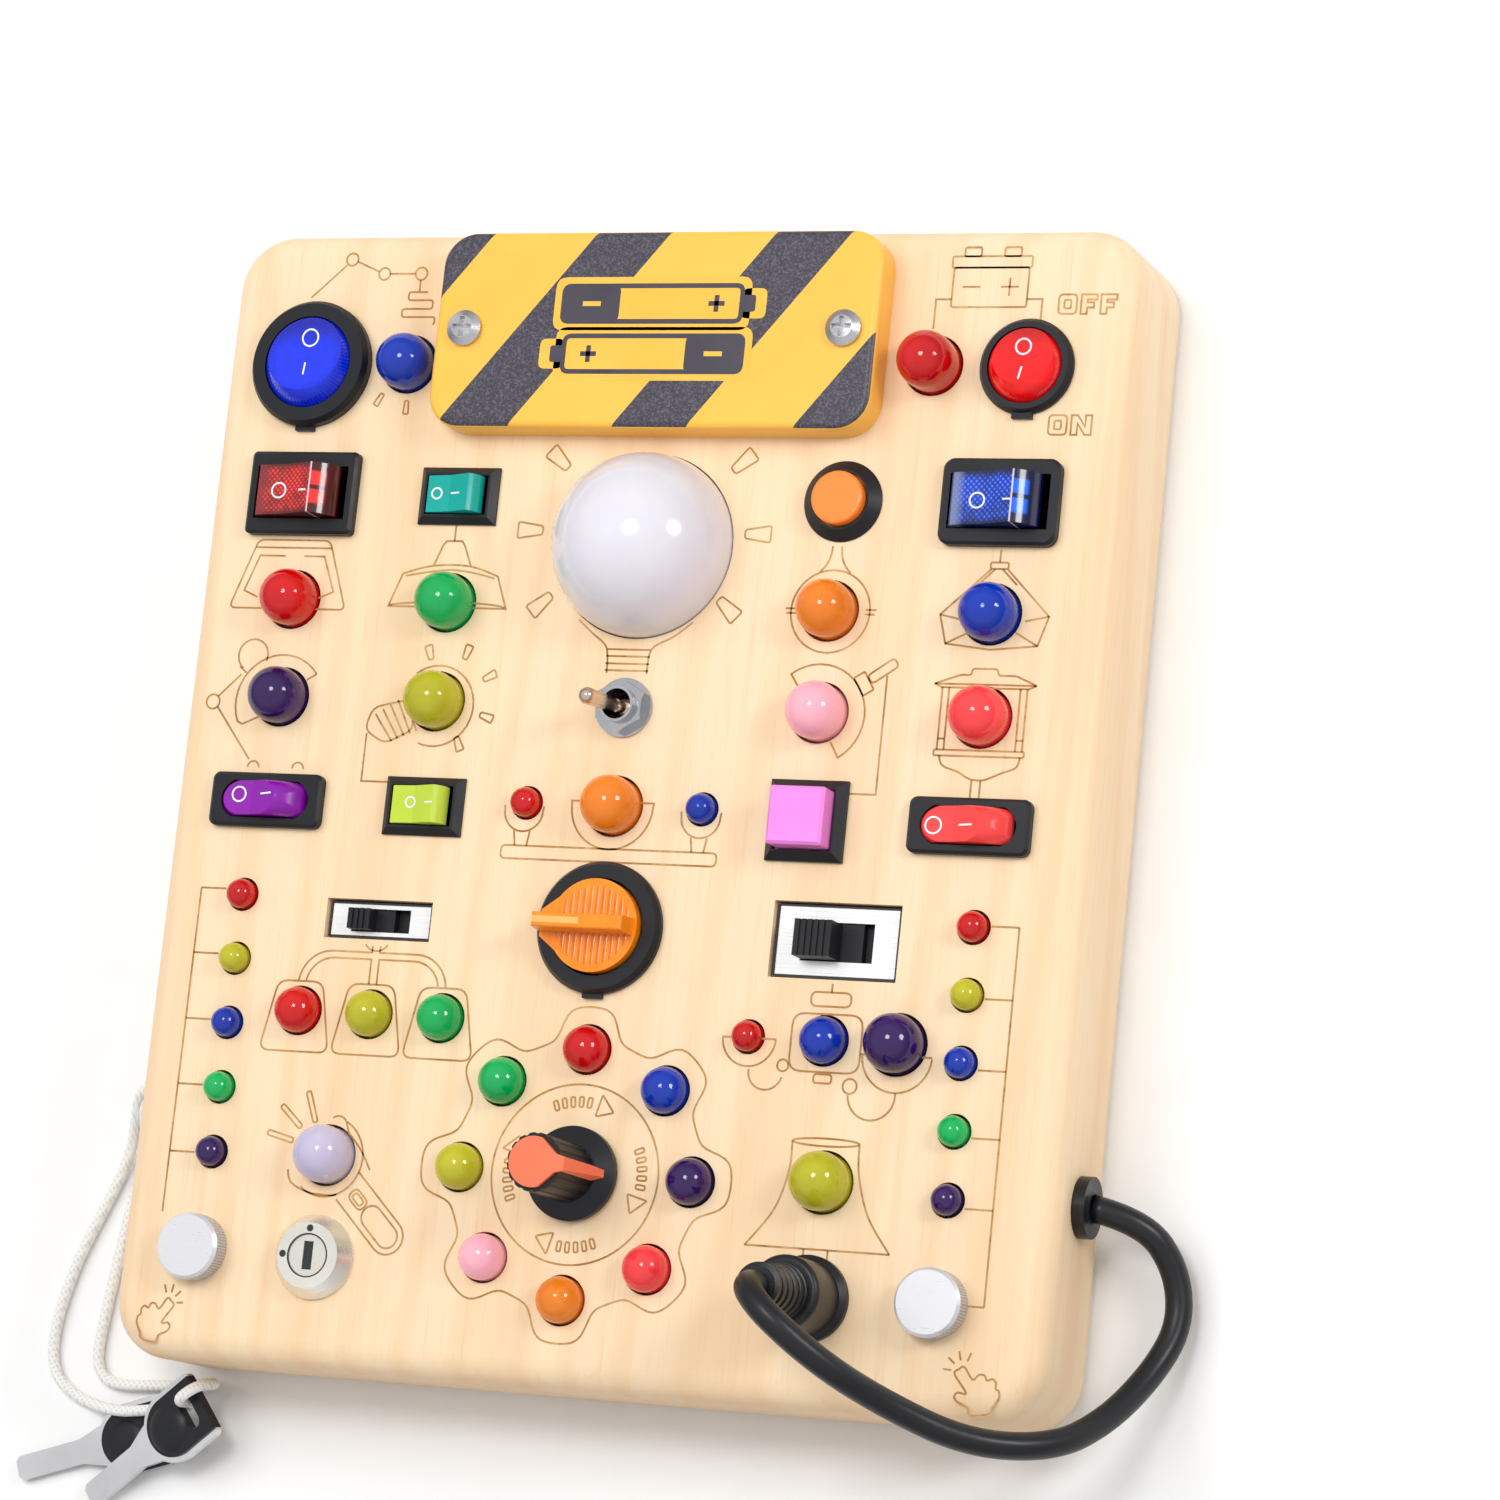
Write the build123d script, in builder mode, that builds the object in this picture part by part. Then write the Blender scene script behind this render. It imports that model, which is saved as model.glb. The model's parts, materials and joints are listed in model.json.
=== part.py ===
"""Wooden busy board: a pine board with working switches, lamps, a key lock and a plug.

It lies on its back. X runs to the right, Y to the top edge, Z out of the front face.
Lengths are in millimetres and angles in degrees.
"""
from build123d import *
import os
from math import cos, pi, radians, sin, tan

os.makedirs("parts", exist_ok=True)

# ------------------------------------------------------------------ board
board_w, board_h, board_t = 172, 203, 24
corner_r = 10.2
front_round = 4.6
back_round = 2.2
rim_w = 7.3             # wooden rim round the back panel
ledge_w = 2.9           # step that the back panel is glued to
front_t = 5.0           # wood left in front of the hollow
panel_t = 3.0
panel_inset = 0.5       # the back panel lies this far inside the rim
panel_gap = 0.3
panel_corner_r = 10.0
hollow_r = 8.0

# ------------------------------------------------------------------ fits
fit = 0.2               # a body in its hole in the wood
run = 0.05              # a pin in its bearing
gap = 0.25              # pieces that move past each other
pin_in = 0.6            # how far a pin reaches into its wall
terminal_end = 6.6      # height of the free ends of all terminals
back_fit = 0.1          # a flange or nut beside the wooden rim

# ------------------------------------------------------------------ layout
side_x = board_w / 2    # the outer groups keep their distance from the board's two sides
col_a_in, col_d_in, col_ab, col_cd = 19.6, 21.0, 30.4, 29.3
col_a, col_d = col_a_in - side_x, side_x - col_d_in
col_b, col_c = col_a + col_ab, col_d - col_cd
row_switch, row_lamp, row_lamp_low, row_low = 52.8, 33.7, 16.0, -2.8
row_slide = -23.0
blue_round_x, red_round_x, row_round = -67.8, 67.2, 76.6
mid_x = -0.2

# ------------------------------------------------------------------ battery
cover_l, cover_w, cover_t = 83.2, 35.4, 6.2
cover_r = 6.2
cover_edge = 1.2
cover_recess = 1.7
cover_y = 81.7
screw_x = 35.7
screw_r = 1.4
screw_clear = 0.3
screw_len = 11.0        # thread below the plate
screw_head_r, screw_head_t = 3.2, 1.9
cross_w, cross_l, cross_d = 0.9, 3.6, 1.0
cell_r, cell_len = 7.1, 49.2
cell_nub_r, cell_nub_len = 2.7, 1.1
cell_gap = 0.3
cell_rest = 0.1
box_wall, box_floor = 0.8, 1.2
spring_space, spring_r = 5.4, 3.2
box_depth = 15.4
box_y = 80.6
box_r = 1.5
contact_t, contact_size = 0.4, 9.0
wire_hole_r, wire_hole_in = 1.6, 6.0
block_wall = 1.9        # wood between the battery pocket and the hollow

# ------------------------------------------------------------------ rockers
# of each kind: bezel length, width, height and bevel; body depth; opening width; radius of
# the rocker's tips, depth of its pivot below the bezel's top, angle from middle to tip
tilt = 15.0             # each rocker rests this far over to its O side
side_span = 36.0        # angle that a rocker's end face covers below its tip
wide_l, wide_w, wide_t, wide_bevel, wide_depth, wide_open = 21.0, 15.0, 2.1, 0.5, 12.4, 9.6
wide_r, wide_pivot, wide_span, wide_pin, wide_wall = 9.7, 4.35, 38.5, 1.2, 1.2
wide_foot_w, wide_foot_d = 3.4, 3.7
wide_corner_red, wide_corner_blue = 0.9, 2.0
small_l, small_w, small_t, small_bevel, small_depth, small_open = 15.0, 10.3, 1.7, 1.15, 9.6, 7.1
small_r, small_pivot, small_span, small_pin, small_wall = 6.1, 2.4, 48.0, 0.8, 0.9
small_foot_w, small_foot_d = 2.1, 2.4
slim_l, slim_w, slim_t, slim_bevel, slim_depth, slim_open = 21.6, 9.6, 1.9, 0.5, 12.0, 6.6
slim_r, slim_pivot, slim_span, slim_pin, slim_wall = 10.1, 5.9, 36.0, 1.1, 0.8
slim_foot_w, slim_foot_d = 3.5, 3.8
slim_corner, sharp_corner = 1.4, 0.0
slim_rim_r = 8.3        # radius of the slim rocker's wheel at its two sides
rocker_dip = 0.6        # hollow in the top of a rocker
body_wall = 0.45
well_floor = 1.0        # clearance below a rocker's foot
big_ring_r, big_ring_t, big_ring_depth = 11.5, 2.8, 12.4
big_rocker_r, big_rocker_pivot, big_rocker_span, big_tilt = 9.3, 4.5, 50.0, 11.0
red_ring_r, red_ring_t, red_ring_depth = 8.4, 1.8, 12.0
red_rocker_r, red_rocker_pivot, red_rocker_span, red_tilt = 7.2, 3.3, 48.0, 15.0
ring_wall, ring_pin, ring_edge = 0.4, 1.0, 0.7
lug_w, lug_out, lug_t = 3.6, 0.7, 1.0

# ------------------------------------------------------------------ push buttons
push_x = col_c + 0.6
push_ring_r, push_ring_t, push_lip_r, push_cap_r, push_top = 7.1, 1.9, 5.3, 4.65, 1.9
push_body_r, push_depth, push_travel = 6.1, 12.0, 2.0
square_w, square_t, square_bevel, square_cap, square_top = 14.0, 2.2, 1.4, 10.0, 4.3
square_body, square_depth, square_travel, square_edge = 12.8, 12.0, 2.5, 0.5
cap_gap = 0.3
cap_flange, cap_flange_t = 0.6, 1.0
shoulder = 0.4          # height of the caps' stop above the board's face
chamber_gap = 0.25
cap_edge = 0.5

# ------------------------------------------------------------------ slide switches
slide_small_x, slide_big_x = col_b - 6.5, col_c + 7.0
slide_small_l, slide_small_w = 20.3, 7.0
slide_big_l, slide_big_w = 23.0, 13.1
plate_t, plate_down, plate_gap = 0.5, 1.2, 0.35
small_slot_l, small_slot_w, small_knob_l, small_knob_h = 11.2, 4.1, 4.2, 2.4
big_slot_l, big_slot_w, big_knob_l, big_knob_h = 13.0, 6.7, 6.7, 4.6
slide_wall, slide_floor, slider_foot_t = 0.7, 2.2, 1.6
slide_clear = 0.15
small_rows, big_rows = 4, 6
rib_gap, rib_d = 0.4, 0.35

# ------------------------------------------------------------------ toggle switch
toggle_y = 15.8
toggle_body_l, toggle_body_w, toggle_body_d = 13.0, 8.0, 9.5
bush_r, bush_top, bush_mouth_r = 3.1, 4.0, 2.65
lever_ball_r, lever_neck_r, lever_tip_r, lever_len = 2.0, 1.05, 1.5, 11.4
lever_tail, lever_tail_r = 3.4, 0.7
lever_pivot_down, lever_tilt = 1.0, 14.0
toggle_chamber_r, toggle_chamber_d = 2.6, 4.2
washer_r, washer_t = 5.2, 0.7
nut_flats, nut_t = 8.2, 2.1

# ------------------------------------------------------------------ selector
selector_y = -22.7
selector_ring_r, selector_ring_t, selector_open_r = 11.5, 2.1, 8.5
selector_body_r, selector_depth, selector_floor = 10.1, 13.0, 1.0
handle_r, handle_lift, handle_drum = 8.1, 0.3, 5.6
handle_tip, handle_tip_w, handle_plate_t = 9.8, 4.6, 1.2
handle_bar_w, handle_bar_h, handle_bar_back = 3.0, 4.6, 7.4
handle_shaft_r, handle_edge = 2.0, 0.4

# ------------------------------------------------------------------ pointer knob
knob_y = -65.0
lamp_circle_r = 21.4
knob_lift = 0.6
knob_skirt_r, knob_skirt_edge, knob_skirt_t, knob_r, knob_h = 8.1, 1.2, 3.0, 5.0, 17.0
flute_count, flute_r, flute_in = 16, 0.6, 0.25
knob_hollow_r, knob_hollow_h = 6.3, 1.6
knob_cap_r, knob_cap_t = 4.3, 0.9
pointer_len, pointer_w, pointer_tip_w, pointer_low = 7.3, 3.2, 1.2, 4.4
pointer_gap, pointer_root_t = 0.05, 0.7
shaft_r, shaft_top = 3.0, 13.0
rotary_r, rotary_d, rotary_bush_r, rotary_bush_top = 13.0, 9.0, 4.4, 1.8
rotary_nut_flats, rotary_nut_t = 10.0, 1.7
rotary_pins, rotary_pin_circle, rotary_pin_r, rotary_floor = 9, 10.5, 0.5, 1.5

# ------------------------------------------------------------------ lamps
big_lamp, mid_lamp, small_lamp = 10.0, 8.0, 5.2
big_rise, mid_rise, small_rise, tall_rise = 2.4, 0.9, 0.9, 4.2
lamp_gap = 0.4
lamp_rim, lamp_rim_t = 0.75, 1.0
lead_w, lead_len, lead_half = 0.5, 5.0, 1.25
column_left, column_right, column_top, column_pitch = col_a - 2.9, col_d + 2.1, -19.6, 11.4
trio_x, trio_pitch, trio_y = col_a + 10.7, 13.7, -39.6
lane_small_x, lane_mid_x, lane_big_x, lane_y = col_c - 6.8, col_c + 6.9, col_d - 9.4, -39.9
blue_top_x, red_top_x, top_lamp_y = -48.9, 50.2, 76.9
centre_lamp_y, centre_small_x = -1.4, 16.4
lilac_lamp = (col_a + 19.4, -64.5)
olive_lamp = (col_d - 20.1, -63.6)
dome_x, dome_y, dome_r, dome_wall = 0.3, 44.5, 16.3, 1.6
dome_rim, dome_rim_t = 1.0, 1.2
dome_board_t = 1.6

# ------------------------------------------------------------------ lock, studs and socket
lock_x, lock_y = col_a + 19.3, -82.2
lock_base_r, lock_face_r, lock_h = 7.35, 5.7, 3.2
lock_body_r, lock_depth, rotor_r, rotor_len, rotor_down = 5.6, 15.5, 3.65, 13.0, 0.2
key_slot_w, key_slot_l, key_slot_d = 1.8, 4.9, 9.0
dot_r, dot_d, dot_out = 0.5, 0.3, 4.7
stud_left, stud_right = (col_a - 3.7, -82.1), (col_d + 1.5, -82.4)
stud_r, stud_h, stud_edge, stud_shank_r, stud_shank = 5.8, 4.2, 0.5, 2.0, 10.0
socket_x, socket_y = col_d - 20.8, -83.1
socket_r, socket_t, socket_body_r, socket_depth = 7.3, 2.0, 5.4, 17.0
jack_r, jack_len = 3.15, 15.0
plug_r, plug_h, plug_edge = 6.3, 10.0, 1.0
relief_base_r, relief_top_r, relief_h, relief_rows, relief_groove = 4.8, 3.8, 11.8, 6, 0.7
under_nut_t, under_nut_lip = 2.0, 1.4

# ------------------------------------------------------------------ cable and cord ends
grommet_y, grommet_z = -63.7, 11.6
grommet_r, grommet_t, grommet_body_r = 5.2, 2.2, 3.9
seat_depth, seat_gap, seat_lean = 1.0, 0.2, 0.6
cable_r = 2.3
cord_r = 1.0
eyelet_y, eyelet_z, eyelet_r, eyelet_t, eyelet_body_r = -53.3, 11.6, 3.4, 0.9, 2.6
eyelet_half = 1.2       # half the distance between the two ends of the cord
cord_seat = 0.3

# ------------------------------------------------------------------ keys
key_len, key_t, key_proud = 31.0, 1.6, 0.5
key_bow_r, key_bow_l, key_corner = 6.4, 8.0, 1.3
key_neck_w, key_neck_in, key_neck_l, key_blade_w, key_tip = 7.0, 14.0, 4.0, 4.4, 0.8
key_rim, key_hole_l, key_hole_w, key_hole_in = 1.0, 6.6, 2.9, 3.3
key_groove_w, key_groove_d = 1.4, 0.6
front_key, front_heading, front_pitch, front_rest = (-73.2, -107.6), 217.5, 13.0, 7.3
rear_key, rear_heading = (-83.2, -112.6), 198.4

# ------------------------------------------------------------------ inside
# terminals: thickness, width, and distance from the middle of each kind of switch
terminal_t, terminal_w = 0.6, 3.0
wide_spread, small_spread, slim_spread, round_spread, red_spread = 6.0, 3.4, 6.0, 5.0, 4.0
push_spread, square_spread, slide_small_spread, slide_big_spread = 3.0, 4.0, 5.0, 6.0
toggle_spread, selector_spread, lock_spread = 4.0, 5.0, 2.5
control_l, control_w, control_t = 32.0, 11.0, 1.6
control_x, control_y, control_z = col_a + 22.4, -51.6, 10.0
chip_l, chip_w, chip_t = 7.0, 4.4, 1.2
spacer_r, spacer_in = 1.8, 2.0
lamp_chips, lamp_chip_w, lamp_chip_t = 6, 3.0, 1.0
wire_r, wire_z, wire_bend, wire_side = 0.6, 4.6, 1.5, 0.75

# ------------------------------------------------------------------ worked out from the above
hollow_top = board_t - front_t
panel_seat = panel_inset + panel_t
panel_w, panel_h = board_w - 2 * rim_w - 2 * panel_gap, board_h - 2 * rim_w - 2 * panel_gap
hollow_w, hollow_h = board_w - 2 * (rim_w + ledge_w), board_h - 2 * (rim_w + ledge_w)
box_l = cell_len + cell_nub_len + spring_space + 2 * (box_wall + contact_t)
box_w = 4 * cell_r + 3 * cell_gap + 2 * box_wall
box_bottom = board_t - box_depth
block_half = screw_x + screw_r + 2.2
block_low = box_y - box_w / 2 - fit - block_wall
cover_top = board_t + cover_t
wide_zp = board_t + wide_t - wide_pivot
small_zp = board_t + small_t - small_pivot
slim_zp = board_t + slim_t - slim_pivot
big_zp = board_t + big_ring_t - big_rocker_pivot
red_zp = board_t + red_ring_t - red_rocker_pivot

wide_places = [(col_a, row_switch), (col_d, row_switch)]
small_places = [(col_b, row_switch), (col_b, row_low)]
slim_places = [(col_a, row_low), (col_d, row_low)]
stud_places = [stud_left, stud_right]


def column(x):
    """The five lamp places of a side column, from the top."""
    return [(x, column_top - i * column_pitch) for i in range(5)]


def ring_place(i):
    """Lamp place i of eight round the pointer knob, clockwise from the top."""
    return (mid_x + lamp_circle_r * sin(radians(45 * i)), knob_y + lamp_circle_r * cos(radians(45 * i)))


# of each colour, its lamps: place, and diameter with the rise of the dome's centre
left, right = column(column_left), column(column_right)
big, tall = (big_lamp, big_rise), (big_lamp, tall_rise)
mid, small = (mid_lamp, mid_rise), (small_lamp, small_rise)
trio = [(trio_x + i * trio_pitch, trio_y) for i in range(3)]
lamps_of = {
    "red": [((col_a, row_lamp), big), ((red_top_x, top_lamp_y), tall), (left[0], small), (right[0], small),
            (trio[0], mid), (ring_place(0), mid), ((mid_x - centre_small_x, centre_lamp_y), small),
            ((lane_small_x, lane_y), small)],
    "yellow": [((col_b, row_lamp_low), big), (olive_lamp, big), (left[1], small), (right[1], small),
               (trio[1], mid), (ring_place(6), mid)],
    "blue": [((col_d, row_lamp), big), ((blue_top_x, top_lamp_y), big), (left[2], small), (right[2], small),
             ((lane_mid_x, lane_y), mid), (ring_place(1), mid),
             ((mid_x + centre_small_x, centre_lamp_y), small)],
    "green": [((col_b, row_lamp), big), (left[3], small), (right[3], small), (trio[2], mid),
              (ring_place(7), mid)],
    "purple": [((col_a, row_lamp_low), big), ((lane_big_x, lane_y), big), (left[4], small),
               (right[4], small), (ring_place(2), mid)],
    "orange": [((col_c, row_lamp), big), ((mid_x, centre_lamp_y), big), (ring_place(4), mid)],
    "pink": [((col_c, row_lamp_low), big), (ring_place(5), mid)],
    "coral": [((col_d, row_lamp_low), big), (ring_place(3), mid)],
    "lilac": [(lilac_lamp, big)],
}


def lamp_spots(diameter=None):
    """The places of all lamps, or of those of one diameter."""
    return [place for places in lamps_of.values() for place, (d, _) in places if diameter in (None, d)]


# ------------------------------------------------------------------ helpers
def disc(x, y, z, r, height, mode=Mode.ADD):
    """A round plate or hole from the height z, upwards, or downwards if height is negative."""
    with BuildSketch(Plane((x, y, z))) as face:
        Circle(r)
    extrude(face.sketch, amount=height, mode=mode)


def slab(x, y, z, length, width, height, r=0.0, mode=Mode.ADD):
    """A rectangular plate or hole from the height z."""
    with BuildSketch(Plane((x, y, z))) as face:
        if r > 0:
            RectangleRounded(length, width, r)
        else:
            Rectangle(length, width)
    extrude(face.sketch, amount=height, mode=mode)


def turned(x, y, points, mode=Mode.ADD):
    """A body of revolution about the vertical through x, y, from (radius, z) points."""
    with BuildSketch(Plane((x, y, 0), x_dir=(1, 0, 0), z_dir=(0, -1, 0))) as profile:
        with BuildLine():
            Polyline(*points, close=True)
        make_face()
    revolve(profile.sketch, axis=Axis((x, y, 0), (0, 0, 1)), mode=mode)


def across(x, y, z, r, half, along=(0, 1, 0), mode=Mode.ADD):
    """A round pin or hole through x, y, z, along Y or another direction, half each way."""
    with BuildSketch(Plane((x, y, z), z_dir=along)) as face:
        Circle(r)
    extrude(face.sketch, amount=half, both=True, mode=mode)


def blades(x, y, top, spread):
    """Two flat terminals below a switch body."""
    for side in (-1, 1):
        slab(x + side * spread, y, top, terminal_t, terminal_w, terminal_end - top)


def ring_nut(x, y, top, bore_r, outer_r, height):
    """A ring nut hanging below the height top."""
    with BuildSketch(Plane((x, y, top))) as face:
        Circle(outer_r)
        Circle(bore_r, mode=Mode.SUBTRACT)
    extrude(face.sketch, amount=-height)


def end_r(r):
    """Radius of a rocker's end face at its lower edge."""
    return r - 3 * gap


def well_half(r, half_span):
    """Half the length of a rocker's well: its end face at its furthest out, and the gap."""
    return (r - gap / 2) * sin(radians(min(half_span + side_span / 2 + tilt, 90))) + gap


def body_half(r, half_span):
    """Half the length of a rocker switch's body."""
    return well_half(r, half_span) + body_wall


# ------------------------------------------------------------------ wooden body
with BuildPart() as wooden_body:
    with BuildSketch():
        RectangleRounded(board_w, board_h, corner_r)
    extrude(amount=board_t)
    fillet(wooden_body.faces().sort_by(Axis.Z)[-1].edges(), front_round)
    fillet(wooden_body.faces().sort_by(Axis.Z)[0].edges(), back_round)
    with BuildSketch():
        RectangleRounded(panel_w + 2 * panel_gap, panel_h + 2 * panel_gap, panel_corner_r)
    extrude(amount=panel_seat, mode=Mode.SUBTRACT)
    with BuildSketch(Plane.XY.offset(panel_seat)):
        RectangleRounded(hollow_w, hollow_h, hollow_r)
        with Locations((0, (block_low + board_h / 2) / 2)):
            Rectangle(2 * block_half, board_h / 2 - block_low, mode=Mode.SUBTRACT)
    extrude(amount=hollow_top - panel_seat, mode=Mode.SUBTRACT)
    # battery pocket, its screw holes and its wire hole
    slab(0, box_y, board_t, box_l + 2 * fit, box_w + 2 * fit, -box_depth, box_r + fit, Mode.SUBTRACT)
    for side in (-1, 1):
        disc(side * screw_x, cover_y, board_t, screw_r + run, -screw_len - 1, Mode.SUBTRACT)
    with BuildSketch(Plane((box_l / 2 - wire_hole_in, box_y - box_w / 2, box_bottom + wire_hole_r),
                           z_dir=(0, -1, 0))):
        Circle(wire_hole_r)
    extrude(amount=block_wall + 1, mode=Mode.SUBTRACT)
    # openings for the switches
    for x, y in wide_places:
        slab(x, y, board_t, 2 * (body_half(wide_r, wide_span) + fit), wide_open + 2 * (wide_wall + fit),
             -wide_depth, mode=Mode.SUBTRACT)
    for x, y in small_places:
        slab(x, y, board_t, 2 * (body_half(small_r, small_span) + fit), small_open + 2 * (small_wall + fit),
             -small_depth, mode=Mode.SUBTRACT)
    for x, y in slim_places:
        slab(x, y, board_t, 2 * (body_half(slim_r, slim_span) + fit), slim_open + 2 * (slim_wall + fit),
             -slim_depth, mode=Mode.SUBTRACT)
    disc(blue_round_x, row_round, board_t, big_rocker_r + gap + ring_wall + fit, -big_ring_depth,
         Mode.SUBTRACT)
    disc(red_round_x, row_round, board_t, red_rocker_r + gap + ring_wall + fit, -red_ring_depth,
         Mode.SUBTRACT)
    disc(push_x, row_switch, board_t, push_body_r + fit, -push_depth, Mode.SUBTRACT)
    slab(col_c, row_low, board_t, square_body + 2 * fit, square_body + 2 * fit, -square_depth,
         mode=Mode.SUBTRACT)
    slab(slide_small_x, row_slide, board_t, slide_small_l, slide_small_w, -front_t, mode=Mode.SUBTRACT)
    slab(slide_big_x, row_slide, board_t, slide_big_l, slide_big_w, -front_t, mode=Mode.SUBTRACT)
    disc(mid_x, toggle_y, board_t, bush_r + fit, -front_t, Mode.SUBTRACT)
    disc(mid_x, selector_y, board_t, selector_body_r + fit, -selector_depth, Mode.SUBTRACT)
    disc(mid_x, knob_y, board_t, rotary_bush_r + fit, -front_t, Mode.SUBTRACT)
    disc(lock_x, lock_y, board_t, lock_body_r + fit, -lock_depth, Mode.SUBTRACT)
    disc(socket_x, socket_y, board_t, socket_body_r + fit, -socket_depth, Mode.SUBTRACT)
    for x, y in stud_places:
        disc(x, y, board_t, stud_shank_r + fit, -stud_shank, Mode.SUBTRACT)
    # lamps
    disc(dome_x, dome_y, board_t, dome_r + fit, -front_t, Mode.SUBTRACT)
    for diameter in (big_lamp, mid_lamp, small_lamp):
        with BuildSketch(Plane((0, 0, board_t))):
            with Locations(*lamp_spots(diameter)):
                Circle(diameter / 2 + lamp_gap)
        extrude(amount=-front_t, mode=Mode.SUBTRACT)
        with BuildSketch(Plane((0, 0, panel_seat))):
            with Locations(*lamp_spots(diameter)):
                Circle(diameter / 2 + lamp_rim + back_fit)
        extrude(amount=hollow_top - panel_seat, mode=Mode.SUBTRACT)
    # the nuts go on from the back, and the rotary switch and the dome's board go in from there
    for x, y, r in ((lock_x, lock_y, lock_body_r + under_nut_lip),
                    (socket_x, socket_y, socket_body_r + under_nut_lip),
                    (*stud_left, stud_shank_r + under_nut_lip), (*stud_right, stud_shank_r + under_nut_lip),
                    (mid_x, knob_y, rotary_r), (dome_x, dome_y, dome_r + dome_rim)):
        disc(x, y, panel_seat, r + back_fit, hollow_top - panel_seat, Mode.SUBTRACT)
    for x, spread in ((blue_round_x, round_spread), (red_round_x, red_spread)):
        slab(x, row_round, panel_seat, 2 * spread + terminal_t + 2 * back_fit, terminal_w + 2 * back_fit,
             hollow_top - panel_seat, mode=Mode.SUBTRACT)
    # grommet in the right side, eyelet in the left
    with BuildSketch(Plane((board_w / 2 + 1, grommet_y, grommet_z), z_dir=(-1, 0, 0))):
        Circle(grommet_body_r + fit)
    extrude(amount=rim_w + ledge_w + 2, mode=Mode.SUBTRACT)
    with BuildSketch(Plane((-board_w / 2 - 1, eyelet_y, eyelet_z), z_dir=(1, 0, 0))):
        Circle(eyelet_body_r + fit)
    extrude(amount=rim_w + ledge_w + 2, mode=Mode.SUBTRACT)
wooden_body.part.label = "wooden_body"

with BuildPart() as back_panel:
    with BuildSketch(Plane.XY.offset(panel_inset)):
        RectangleRounded(panel_w, panel_h, panel_corner_r - panel_gap)
    extrude(amount=panel_t)
back_panel.part.label = "back_panel"

# ------------------------------------------------------------------ battery compartment
with BuildPart() as battery_cover:
    slab(0, cover_y, board_t, cover_l, cover_w, cover_t, cover_r)
    fillet(battery_cover.faces().sort_by(Axis.Z)[-1].edges(), cover_edge)
    slab(0, box_y, board_t, box_l, box_w, cover_recess, box_r, Mode.SUBTRACT)
    for side in (-1, 1):
        disc(side * screw_x, cover_y, board_t, screw_r + screw_clear, cover_t, Mode.SUBTRACT)
battery_cover.part.label = "battery_cover"

with BuildPart() as cover_screws:
    for side in (-1, 1):
        turned(side * screw_x, cover_y,
               [(0, board_t - screw_len), (screw_r, board_t - screw_len + screw_r), (screw_r, cover_top),
                (screw_head_r, cover_top), (screw_head_r, cover_top + 0.45 * screw_head_t),
                (0.62 * screw_head_r, cover_top + 0.9 * screw_head_t), (0, cover_top + screw_head_t)])
        for length, width in ((cross_l, cross_w), (cross_w, cross_l)):
            slab(side * screw_x, cover_y, cover_top + screw_head_t, length, width, -cross_d,
                 mode=Mode.SUBTRACT)
cover_screws.part.label = "cover_screws"

cell_z = box_bottom + box_floor + cell_r + cell_rest
cell_lanes = [box_y - cell_r - cell_gap / 2, box_y + cell_r + cell_gap / 2]
contact_x = box_l / 2 - box_wall
with BuildPart() as battery_box:
    slab(0, box_y, box_bottom, box_l, box_w, box_depth, box_r)
    slab(0, box_y, box_bottom + box_floor, box_l - 2 * box_wall, box_w - 2 * box_wall, box_depth,
         mode=Mode.SUBTRACT)
battery_box.part.label = "battery_box"

with BuildPart() as battery_cells:
    for side, y in zip((1, -1), cell_lanes):
        start = Plane((-side * (contact_x - contact_t - spring_space), y, cell_z), z_dir=(side, 0, 0))
        with BuildSketch(start):
            Circle(cell_r)
        extrude(amount=cell_len)
        with BuildSketch(start.offset(cell_len)):
            Circle(cell_nub_r)
        extrude(amount=cell_nub_len)
battery_cells.part.label = "battery_cells"

with BuildPart() as battery_contacts:
    for side, y in zip((1, -1), cell_lanes):
        for end in (-1, 1):
            with BuildSketch(Plane((end * contact_x, y, cell_z), z_dir=(-end, 0, 0))):
                Rectangle(contact_size, contact_size)
            extrude(amount=contact_t)
        with BuildSketch(Plane((-side * (contact_x - contact_t), y, cell_z), z_dir=(side, 0, 0))):
            Circle(spring_r)
        extrude(amount=spring_space, taper=8)
battery_contacts.part.label = "battery_contacts"


# ------------------------------------------------------------------ rocker switches
def bezel(x, y, length, width, height, corner, bevel, body_l, body_w, depth, pieces):
    """A switch's bevelled frame on the board and the block of its body below."""
    slab(x, y, board_t, length, width, height, corner)
    top = pieces.faces().filter_by(Axis.Z).filter_by_position(Axis.X, x - 1, x + 1)
    top = top.filter_by_position(Axis.Y, y - 1, y + 1).sort_by(Axis.Z)[-1]
    chamfer(top.edges(), bevel)
    slab(x, y, board_t, body_l, body_w, -depth)


def well(x, y, zp, r, half_span, width, foot_w, foot_d, pin):
    """The well that a rocker turns in, and the two blind bearings of its pins."""
    floor = (foot_w ** 2 + foot_d ** 2) ** 0.5 + well_floor
    with BuildSketch(Plane((x, y, zp), x_dir=(1, 0, 0), z_dir=(0, -1, 0))) as section:
        Circle(r + gap)
        with Locations((0, (r + 1 - floor) / 2)):
            Rectangle(2 * well_half(r, half_span), r + 1 + floor, mode=Mode.INTERSECT)
    extrude(section.sketch, amount=width / 2, both=True, mode=Mode.SUBTRACT)
    across(x, y, zp, pin + run, width / 2 + pin_in + 2 * run, mode=Mode.SUBTRACT)


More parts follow.
